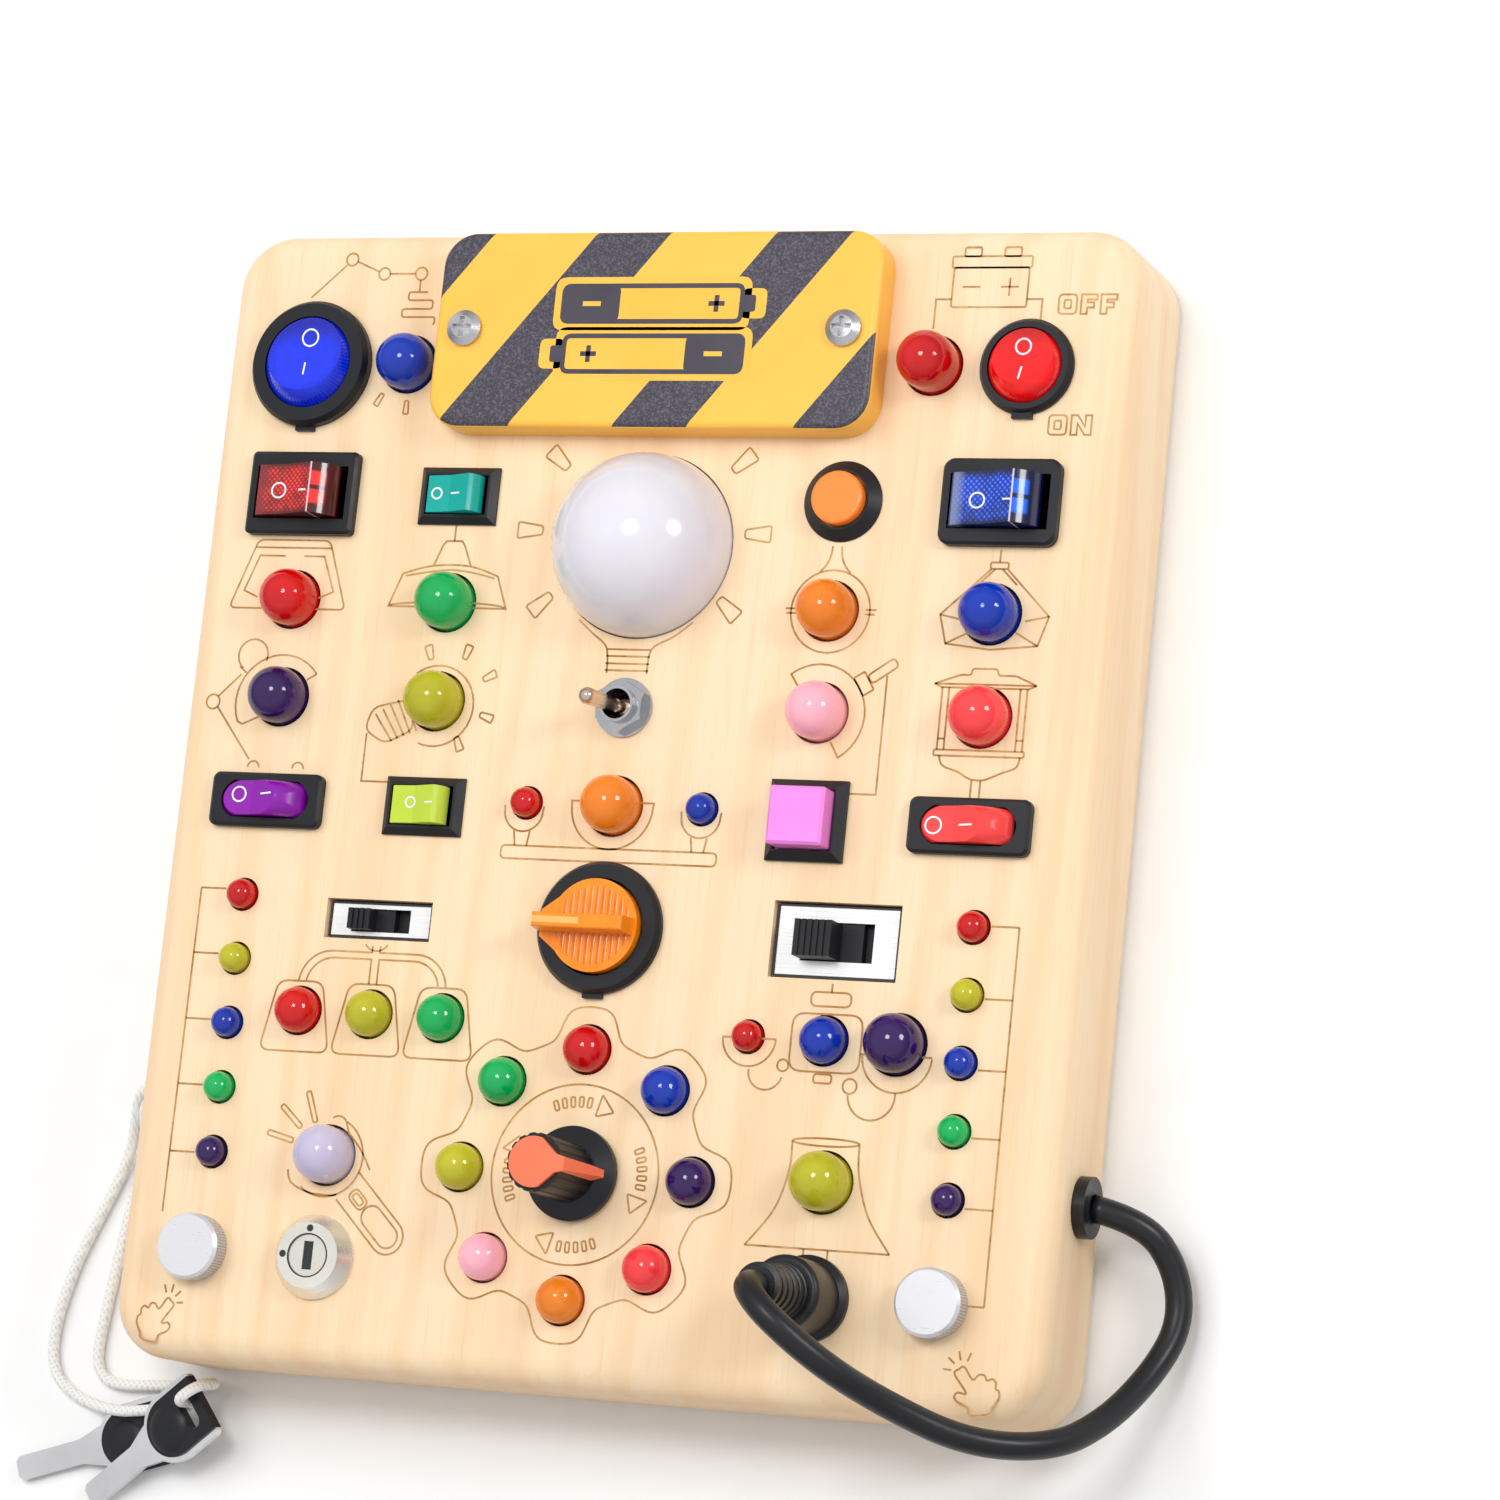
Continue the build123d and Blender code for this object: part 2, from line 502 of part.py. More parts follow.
def rocker(x, y, zp, r, half_span, width, foot_w, foot_d, pin, pin_half):
    """A rocker leaning to its O side: a dipped top, curved end faces and a pin each side."""
    def polar(radius, angle):
        return (radius * sin(radians(angle)), radius * cos(radians(angle)))

    lean = radians(tilt)
    (tx, tz), (ex, ez) = polar(r, half_span), polar(end_r(r), half_span + side_span)
    mx, mz = polar(r - 0.8 * gap, half_span + side_span / 2)
    with BuildSketch(Plane((x, y, zp), x_dir=(cos(lean), 0, sin(lean)), z_dir=(0, -1, 0))) as profile:
        with BuildLine():
            Polyline((-tx, tz), (0, tz - rocker_dip), (tx, tz))
            ThreePointArc((tx, tz), (mx, mz), (ex, ez))
            Polyline((ex, ez), (foot_w, -foot_d), (-foot_w, -foot_d), (-ex, ez))
            ThreePointArc((-ex, ez), (-mx, mz), (-tx, tz))
        make_face()
    extrude(profile.sketch, amount=width / 2, both=True)
    across(x, y, zp, pin, pin_half)


def wheel(x, y, zp, r, side_r, width, mode=Mode.ADD):
    """A wheel with a round rim, standing along X, about the pin through x, y, zp."""
    with BuildSketch(Plane((x, y, zp))) as profile:
        with BuildLine():
            Polyline((side_r, width / 2), (0, width / 2), (0, -width / 2), (side_r, -width / 2))
            ThreePointArc((side_r, -width / 2), (r, 0), (side_r, width / 2))
        make_face()
    revolve(profile.sketch, axis=Axis((x, y, zp), (0, 1, 0)), mode=mode)


def round_rocker(x, y, zp, r, half_span, lean_deg, pin_half):
    """A turned rocker leaning to its O side at the top, with a pin to the left and right."""
    def polar(angle):
        return (r * sin(radians(angle)), r * cos(radians(angle)))

    lean, low = radians(lean_deg), 88
    (rim_x, rim_z), (low_x, low_z) = polar(half_span), polar(low)
    with BuildSketch(Plane((x, y, zp), x_dir=(1, 0, 0), z_dir=(0, -cos(lean), sin(lean)))) as profile:
        with BuildLine():
            Polyline((0, rim_z - rocker_dip), (rim_x - 1.2, rim_z - 0.35 * rocker_dip), (rim_x, rim_z))
            ThreePointArc((rim_x, rim_z), polar((half_span + low) / 2), (low_x, low_z))
            Polyline((low_x, low_z), (0.5 * r, -0.4 * r), (0, -0.4 * r), (0, rim_z - rocker_dip))
        make_face()
    revolve(profile.sketch, axis=Axis((x, y, zp), (0, sin(lean), cos(lean))))
    across(x, y, zp, ring_pin, pin_half, (1, 0, 0))


def ring_housing(x, y, zp, ring_r, ring_t, r, depth):
    """The round housing of a rocker: an edge-rounded ring, a lug at its foot and a body."""
    body_r = r + gap + ring_wall
    turned(x, y, [(0, board_t - depth), (body_r, board_t - depth), (body_r, board_t), (ring_r, board_t),
                  (ring_r, board_t + ring_t - 1.6 * ring_edge), (ring_r - ring_edge, board_t + ring_t),
                  (0, board_t + ring_t)])
    slab(x, y - ring_r, board_t, lug_w, 2 * lug_out, lug_t)
    with Locations((x, y, zp)):
        Sphere(r + gap, mode=Mode.SUBTRACT)
    across(x, y, zp, ring_pin + run, body_r + 1, (1, 0, 0), Mode.SUBTRACT)


with BuildPart() as wide_rocker_housings:
    for (x, y), corner in zip(wide_places, (wide_corner_red, wide_corner_blue)):
        bezel(x, y, wide_l, wide_w, wide_t, corner, wide_bevel, 2 * body_half(wide_r, wide_span),
              wide_open + 2 * wide_wall, wide_depth, wide_rocker_housings)
        well(x, y, wide_zp, wide_r, wide_span, wide_open, wide_foot_w, wide_foot_d, wide_pin)
wide_rocker_housings.part.label = "wide_rocker_housings"

with BuildPart() as small_rocker_housings:
    for x, y in small_places:
        bezel(x, y, small_l, small_w, small_t, sharp_corner, small_bevel,
              2 * body_half(small_r, small_span), small_open + 2 * small_wall, small_depth,
              small_rocker_housings)
        well(x, y, small_zp, small_r, small_span, small_open, small_foot_w, small_foot_d, small_pin)
small_rocker_housings.part.label = "small_rocker_housings"

slim_wells = []
for x, y in slim_places:
    with BuildPart() as slim_well:
        wheel(x, y, slim_zp, slim_r + gap, slim_rim_r + gap, slim_open)
        slab(x, y, slim_zp - (slim_foot_w ** 2 + slim_foot_d ** 2) ** 0.5 - well_floor,
             2 * well_half(slim_r, slim_span), slim_open, 3 * slim_r, mode=Mode.INTERSECT)
    slim_wells.append(slim_well.part)

with BuildPart() as slim_rocker_housings:
    for (x, y), hollow in zip(slim_places, slim_wells):
        bezel(x, y, slim_l, slim_w, slim_t, slim_corner, slim_bevel, 2 * body_half(slim_r, slim_span),
              slim_open + 2 * slim_wall, slim_depth, slim_rocker_housings)
        add(hollow, mode=Mode.SUBTRACT)
        across(x, y, slim_zp, slim_pin + run, slim_open / 2 + pin_in + 2 * run, mode=Mode.SUBTRACT)
slim_rocker_housings.part.label = "slim_rocker_housings"

with BuildPart() as round_rocker_housings:
    ring_housing(blue_round_x, row_round, big_zp, big_ring_r, big_ring_t, big_rocker_r, big_ring_depth)
    ring_housing(red_round_x, row_round, red_zp, red_ring_r, red_ring_t, red_rocker_r, red_ring_depth)
round_rocker_housings.part.label = "round_rocker_housings"


def wide_rocker(place):
    """One wide rocker, in a block of its own."""
    rocker(*place, wide_zp, wide_r, wide_span, wide_open - 2 * gap, wide_foot_w, wide_foot_d, wide_pin,
           wide_open / 2 + pin_in)


def small_rocker(place):
    """One small rocker, in a block of its own."""
    rocker(*place, small_zp, small_r, small_span, small_open - 2 * gap, small_foot_w, small_foot_d,
           small_pin, small_open / 2 + pin_in)


def slim_rocker(place):
    """One slim rocker, cut to a wheel's round rim, in a block of its own."""
    rocker(*place, slim_zp, slim_r, slim_span, slim_open - 2 * gap, slim_foot_w, slim_foot_d, slim_pin,
           slim_open / 2 - gap)
    wheel(*place, slim_zp, slim_r, slim_rim_r, slim_open - 2 * gap, mode=Mode.INTERSECT)
    across(*place, slim_zp, slim_pin, slim_open / 2 + pin_in)


with BuildPart() as rocker_red:
    wide_rocker(wide_places[0])
rocker_red.part.label = "rocker_red"

with BuildPart() as rocker_blue:
    wide_rocker(wide_places[1])
rocker_blue.part.label = "rocker_blue"

with BuildPart() as rocker_teal:
    small_rocker(small_places[0])
rocker_teal.part.label = "rocker_teal"

with BuildPart() as rocker_lime:
    small_rocker(small_places[1])
rocker_lime.part.label = "rocker_lime"

with BuildPart() as rocker_purple:
    slim_rocker(slim_places[0])
rocker_purple.part.label = "rocker_purple"

with BuildPart() as rocker_coral:
    slim_rocker(slim_places[1])
rocker_coral.part.label = "rocker_coral"

with BuildPart() as round_rocker_blue:
    round_rocker(blue_round_x, row_round, big_zp, big_rocker_r, big_rocker_span, big_tilt,
                 big_rocker_r + gap + ring_wall - run)
round_rocker_blue.part.label = "round_rocker_blue"

with BuildPart() as round_rocker_red:
    round_rocker(red_round_x, row_round, red_zp, red_rocker_r, red_rocker_span, red_tilt,
                 red_rocker_r + gap + ring_wall - run)
round_rocker_red.part.label = "round_rocker_red"

# ------------------------------------------------------------------ push buttons
stop_z = board_t + shoulder
push_flange_r, square_flange = push_cap_r + cap_flange, square_cap + 2 * cap_flange
push_top_z = board_t + push_ring_t
chamber_h = cap_flange_t + push_travel + gap
square_chamber_h = cap_flange_t + square_travel + gap
with BuildPart() as button_housings:
    turned(push_x, row_switch,
           [(0, board_t - push_depth), (push_body_r, board_t - push_depth), (push_body_r, board_t),
            (push_ring_r, board_t), (push_ring_r, board_t + 0.3), (push_lip_r, push_top_z), (0, push_top_z)])
    disc(push_x, row_switch, push_top_z, push_cap_r + cap_gap, -push_ring_t, Mode.SUBTRACT)
    disc(push_x, row_switch, stop_z, push_flange_r + chamber_gap, -chamber_h, Mode.SUBTRACT)
    bezel(col_c, row_low, square_w, square_w, square_t, sharp_corner, square_bevel, square_body,
          square_body, square_depth, button_housings)
    slab(col_c, row_low, board_t + square_t, square_cap + 2 * cap_gap, square_cap + 2 * cap_gap, -square_t,
         mode=Mode.SUBTRACT)
    slab(col_c, row_low, stop_z, square_flange + 2 * chamber_gap, square_flange + 2 * chamber_gap,
         -square_chamber_h, mode=Mode.SUBTRACT)
button_housings.part.label = "button_housings"

with BuildPart() as round_button_cap:
    disc(push_x, row_switch, stop_z - cap_flange_t, push_flange_r, cap_flange_t)
    disc(push_x, row_switch, stop_z - cap_flange_t, push_cap_r,
         push_top_z + push_top - stop_z + cap_flange_t)
    fillet(round_button_cap.faces().sort_by(Axis.Z)[-1].edges(), cap_edge)
round_button_cap.part.label = "round_button_cap"

with BuildPart() as square_button_cap:
    slab(col_c, row_low, stop_z - cap_flange_t, square_flange, square_flange, cap_flange_t)
    slab(col_c, row_low, stop_z - cap_flange_t, square_cap, square_cap,
         square_t - shoulder + square_top + cap_flange_t, cap_edge)
    chamfer(square_button_cap.faces().sort_by(Axis.Z)[-1].edges(), square_edge)
square_button_cap.part.label = "square_button_cap"


# ------------------------------------------------------------------ slide switches
def slide_travel(slot_l, knob_l):
    """How far a slider moves."""
    return slot_l - knob_l - 2 * gap


plate_top = board_t - plate_down
plate_bottom = plate_top - plate_t
foot_top = plate_bottom - slide_clear
cavity_floor = foot_top - slider_foot_t - slide_clear

with BuildPart() as slide_plates:
    for x, length, width, slot_l, slot_w in (
            (slide_small_x, slide_small_l, slide_small_w, small_slot_l, small_slot_w),
            (slide_big_x, slide_big_l, slide_big_w, big_slot_l, big_slot_w)):
        with BuildSketch(Plane((x, row_slide, plate_bottom))):
            Rectangle(length - 2 * plate_gap, width - 2 * plate_gap)
            Rectangle(slot_l, slot_w, mode=Mode.SUBTRACT)
        extrude(amount=plate_t)
slide_plates.part.label = "slide_plates"

with BuildPart() as slide_bodies:
    for x, length, width in ((slide_small_x, slide_small_l, slide_small_w),
                             (slide_big_x, slide_big_l, slide_big_w)):
        body_l, body_w = length - 2 * plate_gap, width - 2 * plate_gap
        slab(x, row_slide, plate_bottom, body_l, body_w, cavity_floor - slide_floor - plate_bottom)
        slab(x, row_slide, plate_bottom, body_l - 2 * slide_wall, body_w - 2 * slide_wall,
             cavity_floor - plate_bottom, mode=Mode.SUBTRACT)
slide_bodies.part.label = "slide_bodies"


def slider(x, length, width, slot_l, slot_w, knob_l, knob_h, rows):
    """A ribbed slider at the left end of its slot, with its foot under the plate."""
    travel = slide_travel(slot_l, knob_l)
    cavity_l = length - 2 * plate_gap - 2 * slide_wall
    cavity_w = width - 2 * plate_gap - 2 * slide_wall
    at = x - travel / 2
    slab(at, row_slide, foot_top, cavity_l - travel - 2 * gap, cavity_w - 2 * slide_clear, -slider_foot_t)
    slab(at, row_slide, foot_top, knob_l, slot_w - 2 * gap, plate_top + knob_h - foot_top)
    with BuildSketch(Plane((at, row_slide, plate_top + knob_h))) as grooves:
        with GridLocations(knob_l / rows, 0, rows - 1, 1):
            Rectangle(rib_gap, slot_w)
    extrude(grooves.sketch, amount=-rib_d, mode=Mode.SUBTRACT)


with BuildPart() as small_slider:
    slider(slide_small_x, slide_small_l, slide_small_w, small_slot_l, small_slot_w, small_knob_l,
           small_knob_h, small_rows)
small_slider.part.label = "small_slider"

with BuildPart() as large_slider:
    slider(slide_big_x, slide_big_l, slide_big_w, big_slot_l, big_slot_w, big_knob_l, big_knob_h, big_rows)
large_slider.part.label = "large_slider"

# ------------------------------------------------------------------ toggle switch
lever_z = board_t - lever_pivot_down
bush_top_z = board_t + bush_top
with BuildPart() as toggle_body:
    slab(mid_x, toggle_y, hollow_top, toggle_body_l, toggle_body_w, -toggle_body_d)
    disc(mid_x, toggle_y, hollow_top, toggle_chamber_r, -toggle_chamber_d, Mode.SUBTRACT)
toggle_body.part.label = "toggle_body"

with BuildPart() as toggle_bush:
    turned(mid_x, toggle_y,
           [(toggle_chamber_r, hollow_top), (bush_r, hollow_top), (bush_r, bush_top_z),
            (bush_mouth_r, bush_top_z), (lever_ball_r + run, lever_z + lever_ball_r),
            (lever_ball_r + run, lever_z - lever_ball_r), (toggle_chamber_r, lever_z - lever_ball_r - 0.4)])
toggle_bush.part.label = "toggle_bush"

with BuildPart() as toggle_nut:
    disc(mid_x, toggle_y, board_t, washer_r, washer_t)
    with BuildSketch(Plane((mid_x, toggle_y, board_t + washer_t))):
        RegularPolygon(nut_flats / 2, 6, major_radius=False, rotation=30)
    extrude(amount=nut_t)
    disc(mid_x, toggle_y, board_t, bush_r, washer_t + nut_t, Mode.SUBTRACT)
toggle_nut.part.label = "toggle_nut"

lever_dir = (-sin(radians(lever_tilt)), 0, cos(radians(lever_tilt)))
lever_base = Plane((mid_x, toggle_y, lever_z), z_dir=lever_dir)
with BuildPart() as toggle_lever:
    with Locations((mid_x, toggle_y, lever_z)):
        Sphere(lever_ball_r)
    with BuildSketch(lever_base):
        Circle(lever_neck_r)
    with BuildSketch(lever_base.offset(lever_len)):
        Circle(lever_tip_r)
    loft()
    with Locations(lever_base.offset(lever_len)):
        Sphere(lever_tip_r)
    with BuildSketch(lever_base):
        Circle(lever_tail_r)
    extrude(amount=-lever_ball_r - lever_tail)
toggle_lever.part.label = "toggle_lever"

# ------------------------------------------------------------------ selector
selector_top = board_t + selector_ring_t
selector_low = board_t - selector_depth
handle_low = board_t - handle_drum
plate_z = selector_top + handle_lift
with BuildPart() as selector_housing:
    turned(mid_x, selector_y,
           [(0, selector_low), (selector_body_r, selector_low), (selector_body_r, board_t),
            (selector_ring_r, board_t), (selector_ring_r, selector_top - 1.6 * ring_edge),
            (selector_ring_r - ring_edge, selector_top), (selector_open_r, selector_top),
            (selector_open_r, handle_low - gap), (handle_shaft_r + run, handle_low - gap),
            (handle_shaft_r + run, selector_low + selector_floor), (0, selector_low + selector_floor)])
    slab(mid_x, selector_y - selector_ring_r, board_t, lug_w, 2 * lug_out, lug_t)
selector_housing.part.label = "selector_housing"

with BuildPart() as selector_handle:
    disc(mid_x, selector_y, handle_low, handle_r, plate_z - handle_low)
    disc(mid_x, selector_y, handle_low, handle_shaft_r, selector_low + selector_floor + gap - handle_low)
    with BuildSketch(Plane((mid_x, selector_y, plate_z))):
        Circle(handle_r)
        with BuildLine():
            Polyline((-handle_tip, -handle_tip_w / 2), (-handle_tip, handle_tip_w / 2),
                     (-0.35 * handle_r, 0.93 * handle_r), (-0.35 * handle_r, -0.93 * handle_r), close=True)
        make_face()
    extrude(amount=handle_plate_t)
    with BuildSketch(Plane((mid_x, selector_y, plate_z + handle_plate_t))):
        with Locations(((handle_bar_back - handle_tip) / 2, 0)):
            Rectangle(handle_tip + handle_bar_back, handle_bar_w)
    extrude(amount=handle_bar_h, taper=3)
    fillet(selector_handle.faces().sort_by(Axis.Z)[-1].edges(), handle_edge)
selector_handle.part.label = "selector_handle"

# ------------------------------------------------------------------ pointer knob
rotary_low = hollow_top - rotary_d
rotary_top = board_t + rotary_bush_top
knob_low = board_t + knob_lift
knob_top = board_t + knob_h
skirt_top = knob_low + knob_skirt_t
with BuildPart() as rotary_switch:
    disc(mid_x, knob_y, hollow_top, rotary_r, -rotary_d)
    disc(mid_x, knob_y, hollow_top, rotary_bush_r, front_t + rotary_bush_top)
    disc(mid_x, knob_y, rotary_top, shaft_r + run, rotary_low + rotary_floor - rotary_top, Mode.SUBTRACT)
rotary_switch.part.label = "rotary_switch"

with BuildPart() as pointer_knob:
    turned(mid_x, knob_y,
           [(0, knob_low), (knob_skirt_r, knob_low), (knob_skirt_r, knob_low + knob_skirt_edge),
            (knob_r + 0.3, skirt_top), (knob_r, skirt_top), (knob_r, knob_top), (0, knob_top)])
    with BuildSketch(Plane((mid_x, knob_y, skirt_top))):
        with PolarLocations(knob_r + flute_r - flute_in, flute_count):
            Circle(flute_r)
    extrude(amount=knob_top - skirt_top, mode=Mode.SUBTRACT)
    disc(mid_x, knob_y, knob_low, knob_hollow_r, knob_hollow_h, Mode.SUBTRACT)
    disc(mid_x, knob_y, knob_low, shaft_r, shaft_top - knob_lift, Mode.SUBTRACT)
pointer_knob.part.label = "pointer_knob"

with BuildPart() as knob_shaft:
    disc(mid_x, knob_y, rotary_low + rotary_floor + gap, shaft_r,
         board_t + shaft_top - rotary_low - rotary_floor - gap)
knob_shaft.part.label = "knob_shaft"

cap_top = knob_top + knob_cap_t
pointer_in = knob_r + pointer_gap
pointer_z = board_t + pointer_low
with BuildPart() as pointer_cap:
    disc(mid_x, knob_y, knob_top, knob_cap_r, knob_cap_t)
    with BuildSketch(Plane((mid_x, knob_y, 0), x_dir=(1, 0, 0), z_dir=(0, -1, 0))):
        with BuildLine():
            Polyline((0, knob_top), (0, cap_top), (pointer_in + pointer_root_t, cap_top),
                     (pointer_len, pointer_z + 1), (pointer_len, pointer_z), (pointer_in, pointer_z),
                     (pointer_in, knob_top), close=True)
        make_face()
    extrude(amount=pointer_w / 2, both=True)
    with BuildSketch(Plane((mid_x, knob_y, 0))):
        with BuildLine():
            Polyline((-knob_cap_r - 1, -knob_cap_r - 1), (-knob_cap_r - 1, knob_cap_r + 1),
                     (0, knob_cap_r + 1), (pointer_in - 1, pointer_w / 2),
                     (pointer_len + 0.1, pointer_tip_w / 2), (pointer_len + 0.1, -pointer_tip_w / 2),
                     (pointer_in - 1, -pointer_w / 2), (0, -knob_cap_r - 1), close=True)
        make_face()
    extrude(amount=cap_top + 1, mode=Mode.INTERSECT)
pointer_cap.part.label = "pointer_cap"


# ------------------------------------------------------------------ lamps
def lamp(x, y, d, rise):
    """A domed lamp: rim under the wood, barrel through it and a half ball on top."""
    r = d / 2
    centre = board_t + rise
    rim_low = hollow_top - lamp_rim_t
    with BuildSketch(Plane((x, y, 0), x_dir=(1, 0, 0), z_dir=(0, -1, 0))) as profile:
        with BuildLine():
            Polyline((0, centre + r), (0, rim_low), (r + lamp_rim, rim_low), (r + lamp_rim, hollow_top),
                     (r, hollow_top), (r, centre))
            ThreePointArc((r, centre), (r * cos(pi / 4), centre + r * sin(pi / 4)), (0, centre + r))
        make_face()
    revolve(profile.sketch, axis=Axis((x, y, 0), (0, 0, 1)))


lamp_parts = []
for colour, places in lamps_of.items():
    with BuildPart() as lamps:
        for (x, y), (d, rise) in places:
            lamp(x, y, d, rise)
    lamps.part.label = "lamps_" + colour
    lamp_parts.append(lamps.part)

with BuildPart() as dome_lens:
    disc(dome_x, dome_y, hollow_top - dome_rim_t, dome_r + dome_rim, dome_rim_t)
    disc(dome_x, dome_y, hollow_top, dome_r, front_t)
    for radius, mode in ((dome_r, Mode.ADD), (dome_r - dome_wall, Mode.SUBTRACT)):
        with BuildSketch(Plane((dome_x, dome_y, board_t), x_dir=(1, 0, 0), z_dir=(0, -1, 0))):
            with BuildLine():
                Polyline((0, radius), (0, 0), (radius, 0))
                ThreePointArc((radius, 0), (radius * cos(pi / 4), radius * sin(pi / 4)), (0, radius))
            make_face()
        revolve(axis=Axis((dome_x, dome_y, 0), (0, 0, 1)), mode=mode)
    disc(dome_x, dome_y, board_t, dome_r - dome_wall, -front_t - dome_rim_t, Mode.SUBTRACT)
dome_lens.part.label = "dome_lens"

with BuildPart() as circuit_boards:
    disc(dome_x, dome_y, hollow_top - dome_rim_t, dome_r + dome_rim, -dome_board_t)
    with BuildSketch(Plane((dome_x, dome_y, hollow_top - dome_rim_t))):
        with PolarLocations(dome_r / 2, lamp_chips):
            Rectangle(lamp_chip_w, lamp_chip_w)
    extrude(amount=lamp_chip_t)
    slab(control_x, control_y, control_z, control_l, control_w, control_t)
    slab(control_x, control_y, control_z + control_t, chip_l, chip_w, chip_t)
    with BuildSketch(Plane((control_x, control_y, control_z + control_t))):
        with GridLocations(control_l - 2 * spacer_in, control_w - 2 * spacer_in, 2, 2):
            Circle(spacer_r)
    extrude(amount=hollow_top - control_z - control_t)
circuit_boards.part.label = "circuit_boards"

# ------------------------------------------------------------------ lock
lock_top = board_t + lock_h
rotor_top = lock_top - rotor_down
with BuildPart() as lock_barrel:
    turned(lock_x, lock_y, [(0, board_t - lock_depth), (lock_body_r, board_t - lock_depth),
                            (lock_body_r, board_t), (lock_base_r, board_t), (lock_base_r, board_t + 0.6),
                            (lock_face_r, lock_top), (0, lock_top)])
    disc(lock_x, lock_y, lock_top, rotor_r + run, -rotor_down - rotor_len - run, Mode.SUBTRACT)
    with BuildSketch(Plane((lock_x, lock_y, lock_top))):
        with Locations((0, dot_out), (-dot_out, 0)):
            Circle(dot_r)
    extrude(amount=-dot_d, mode=Mode.SUBTRACT)
lock_barrel.part.label = "lock_barrel"

with BuildPart() as lock_rotor:
    disc(lock_x, lock_y, rotor_top, rotor_r, -rotor_len)
    slab(lock_x, lock_y, rotor_top, key_slot_w, key_slot_l, -key_slot_d, mode=Mode.SUBTRACT)
lock_rotor.part.label = "lock_rotor"

# ------------------------------------------------------------------ touch studs
with BuildPart() as touch_studs:
    for x, y in stud_places:
        turned(x, y, [(0, board_t - stud_shank), (stud_shank_r, board_t - stud_shank),
                      (stud_shank_r, board_t), (stud_r, board_t), (stud_r, board_t + stud_h - stud_edge),
                      (stud_r - stud_edge, board_t + stud_h), (0, board_t + stud_h)])
touch_studs.part.label = "touch_studs"

# ------------------------------------------------------------------ socket and plug
socket_top = board_t + socket_t
with BuildPart() as plug_socket:
    turned(socket_x, socket_y,
           [(jack_r + run, board_t - socket_depth), (socket_body_r, board_t - socket_depth),
            (socket_body_r, board_t), (socket_r, board_t), (socket_r, board_t + 0.6 * socket_t),
            (socket_r - 0.5 * socket_t, socket_top), (jack_r + run, socket_top)])
plug_socket.part.label = "plug_socket"

plug_top = socket_top + plug_h
relief_top = plug_top + relief_h
relief_pitch = relief_h / relief_rows
relief_rings = []
for i in range(relief_rows):
    ring_r = relief_base_r + (relief_top_r - relief_base_r) * i / (relief_rows - 1)
    ring_z = plug_top + i * relief_pitch
    relief_rings += [(ring_r, ring_z), (ring_r, ring_z + 0.62 * relief_pitch),
                     (ring_r - relief_groove, ring_z + 0.7 * relief_pitch),
                     (ring_r - relief_groove, ring_z + relief_pitch)]
with BuildPart() as cable_plug:
    disc(socket_x, socket_y, socket_top, jack_r, -jack_len)
    disc(socket_x, socket_y, socket_top, plug_r, plug_h)
    fillet(cable_plug.faces().sort_by(Axis.Z)[-1].edges(), plug_edge)
    turned(socket_x, socket_y, [(0, plug_top)] + relief_rings + [(0, relief_top)])
cable_plug.part.label = "cable_plug"

# ------------------------------------------------------------------ nuts
with BuildPart() as panel_nuts:
    ring_nut(lock_x, lock_y, hollow_top, lock_body_r, lock_body_r + under_nut_lip, under_nut_t)
    ring_nut(socket_x, socket_y, hollow_top, socket_body_r, socket_body_r + under_nut_lip, under_nut_t)
    for x, y in stud_places:
        ring_nut(x, y, hollow_top, stud_shank_r, stud_shank_r + under_nut_lip, under_nut_t)
    with BuildSketch(Plane((mid_x, knob_y, board_t))):
        RegularPolygon(rotary_nut_flats / 2, 6, major_radius=False)
        Circle(rotary_bush_r, mode=Mode.SUBTRACT)
    extrude(amount=rotary_nut_t)
panel_nuts.part.label = "panel_nuts"

# ------------------------------------------------------------------ grommets in the two sides
cable_end_x = side_x + grommet_t - seat_depth + seat_gap + seat_lean
cord_end_x = -side_x - eyelet_t + seat_depth - seat_gap
with BuildPart() as side_grommets:
    with BuildSketch(Plane((side_x, grommet_y, grommet_z), z_dir=(1, 0, 0))):
        Circle(grommet_r)
    extrude(amount=grommet_t)
    with BuildSketch(Plane((side_x, grommet_y, grommet_z), z_dir=(-1, 0, 0))):
        Circle(grommet_body_r)
    extrude(amount=rim_w + ledge_w)
    with BuildSketch(Plane((side_x + grommet_t, grommet_y, grommet_z), z_dir=(-1, 0, 0))):
        Circle(cable_r + seat_lean)
    extrude(amount=seat_depth, mode=Mode.SUBTRACT)
    with BuildSketch(Plane((-side_x, eyelet_y, eyelet_z), z_dir=(-1, 0, 0))):
        Circle(eyelet_r)
    extrude(amount=eyelet_t)
    with BuildSketch(Plane((-side_x, eyelet_y, eyelet_z), z_dir=(1, 0, 0))):
        Circle(eyelet_body_r)
    extrude(amount=rim_w + ledge_w)
    with BuildSketch(Plane((-side_x - eyelet_t, eyelet_y, eyelet_z), x_dir=(0, 1, 0), z_dir=(1, 0, 0))):
        SlotOverall(2 * (eyelet_half + cord_r + cord_seat), 2 * (cord_r + cord_seat))
    extrude(amount=seat_depth, mode=Mode.SUBTRACT)
side_grommets.part.label = "side_grommets"

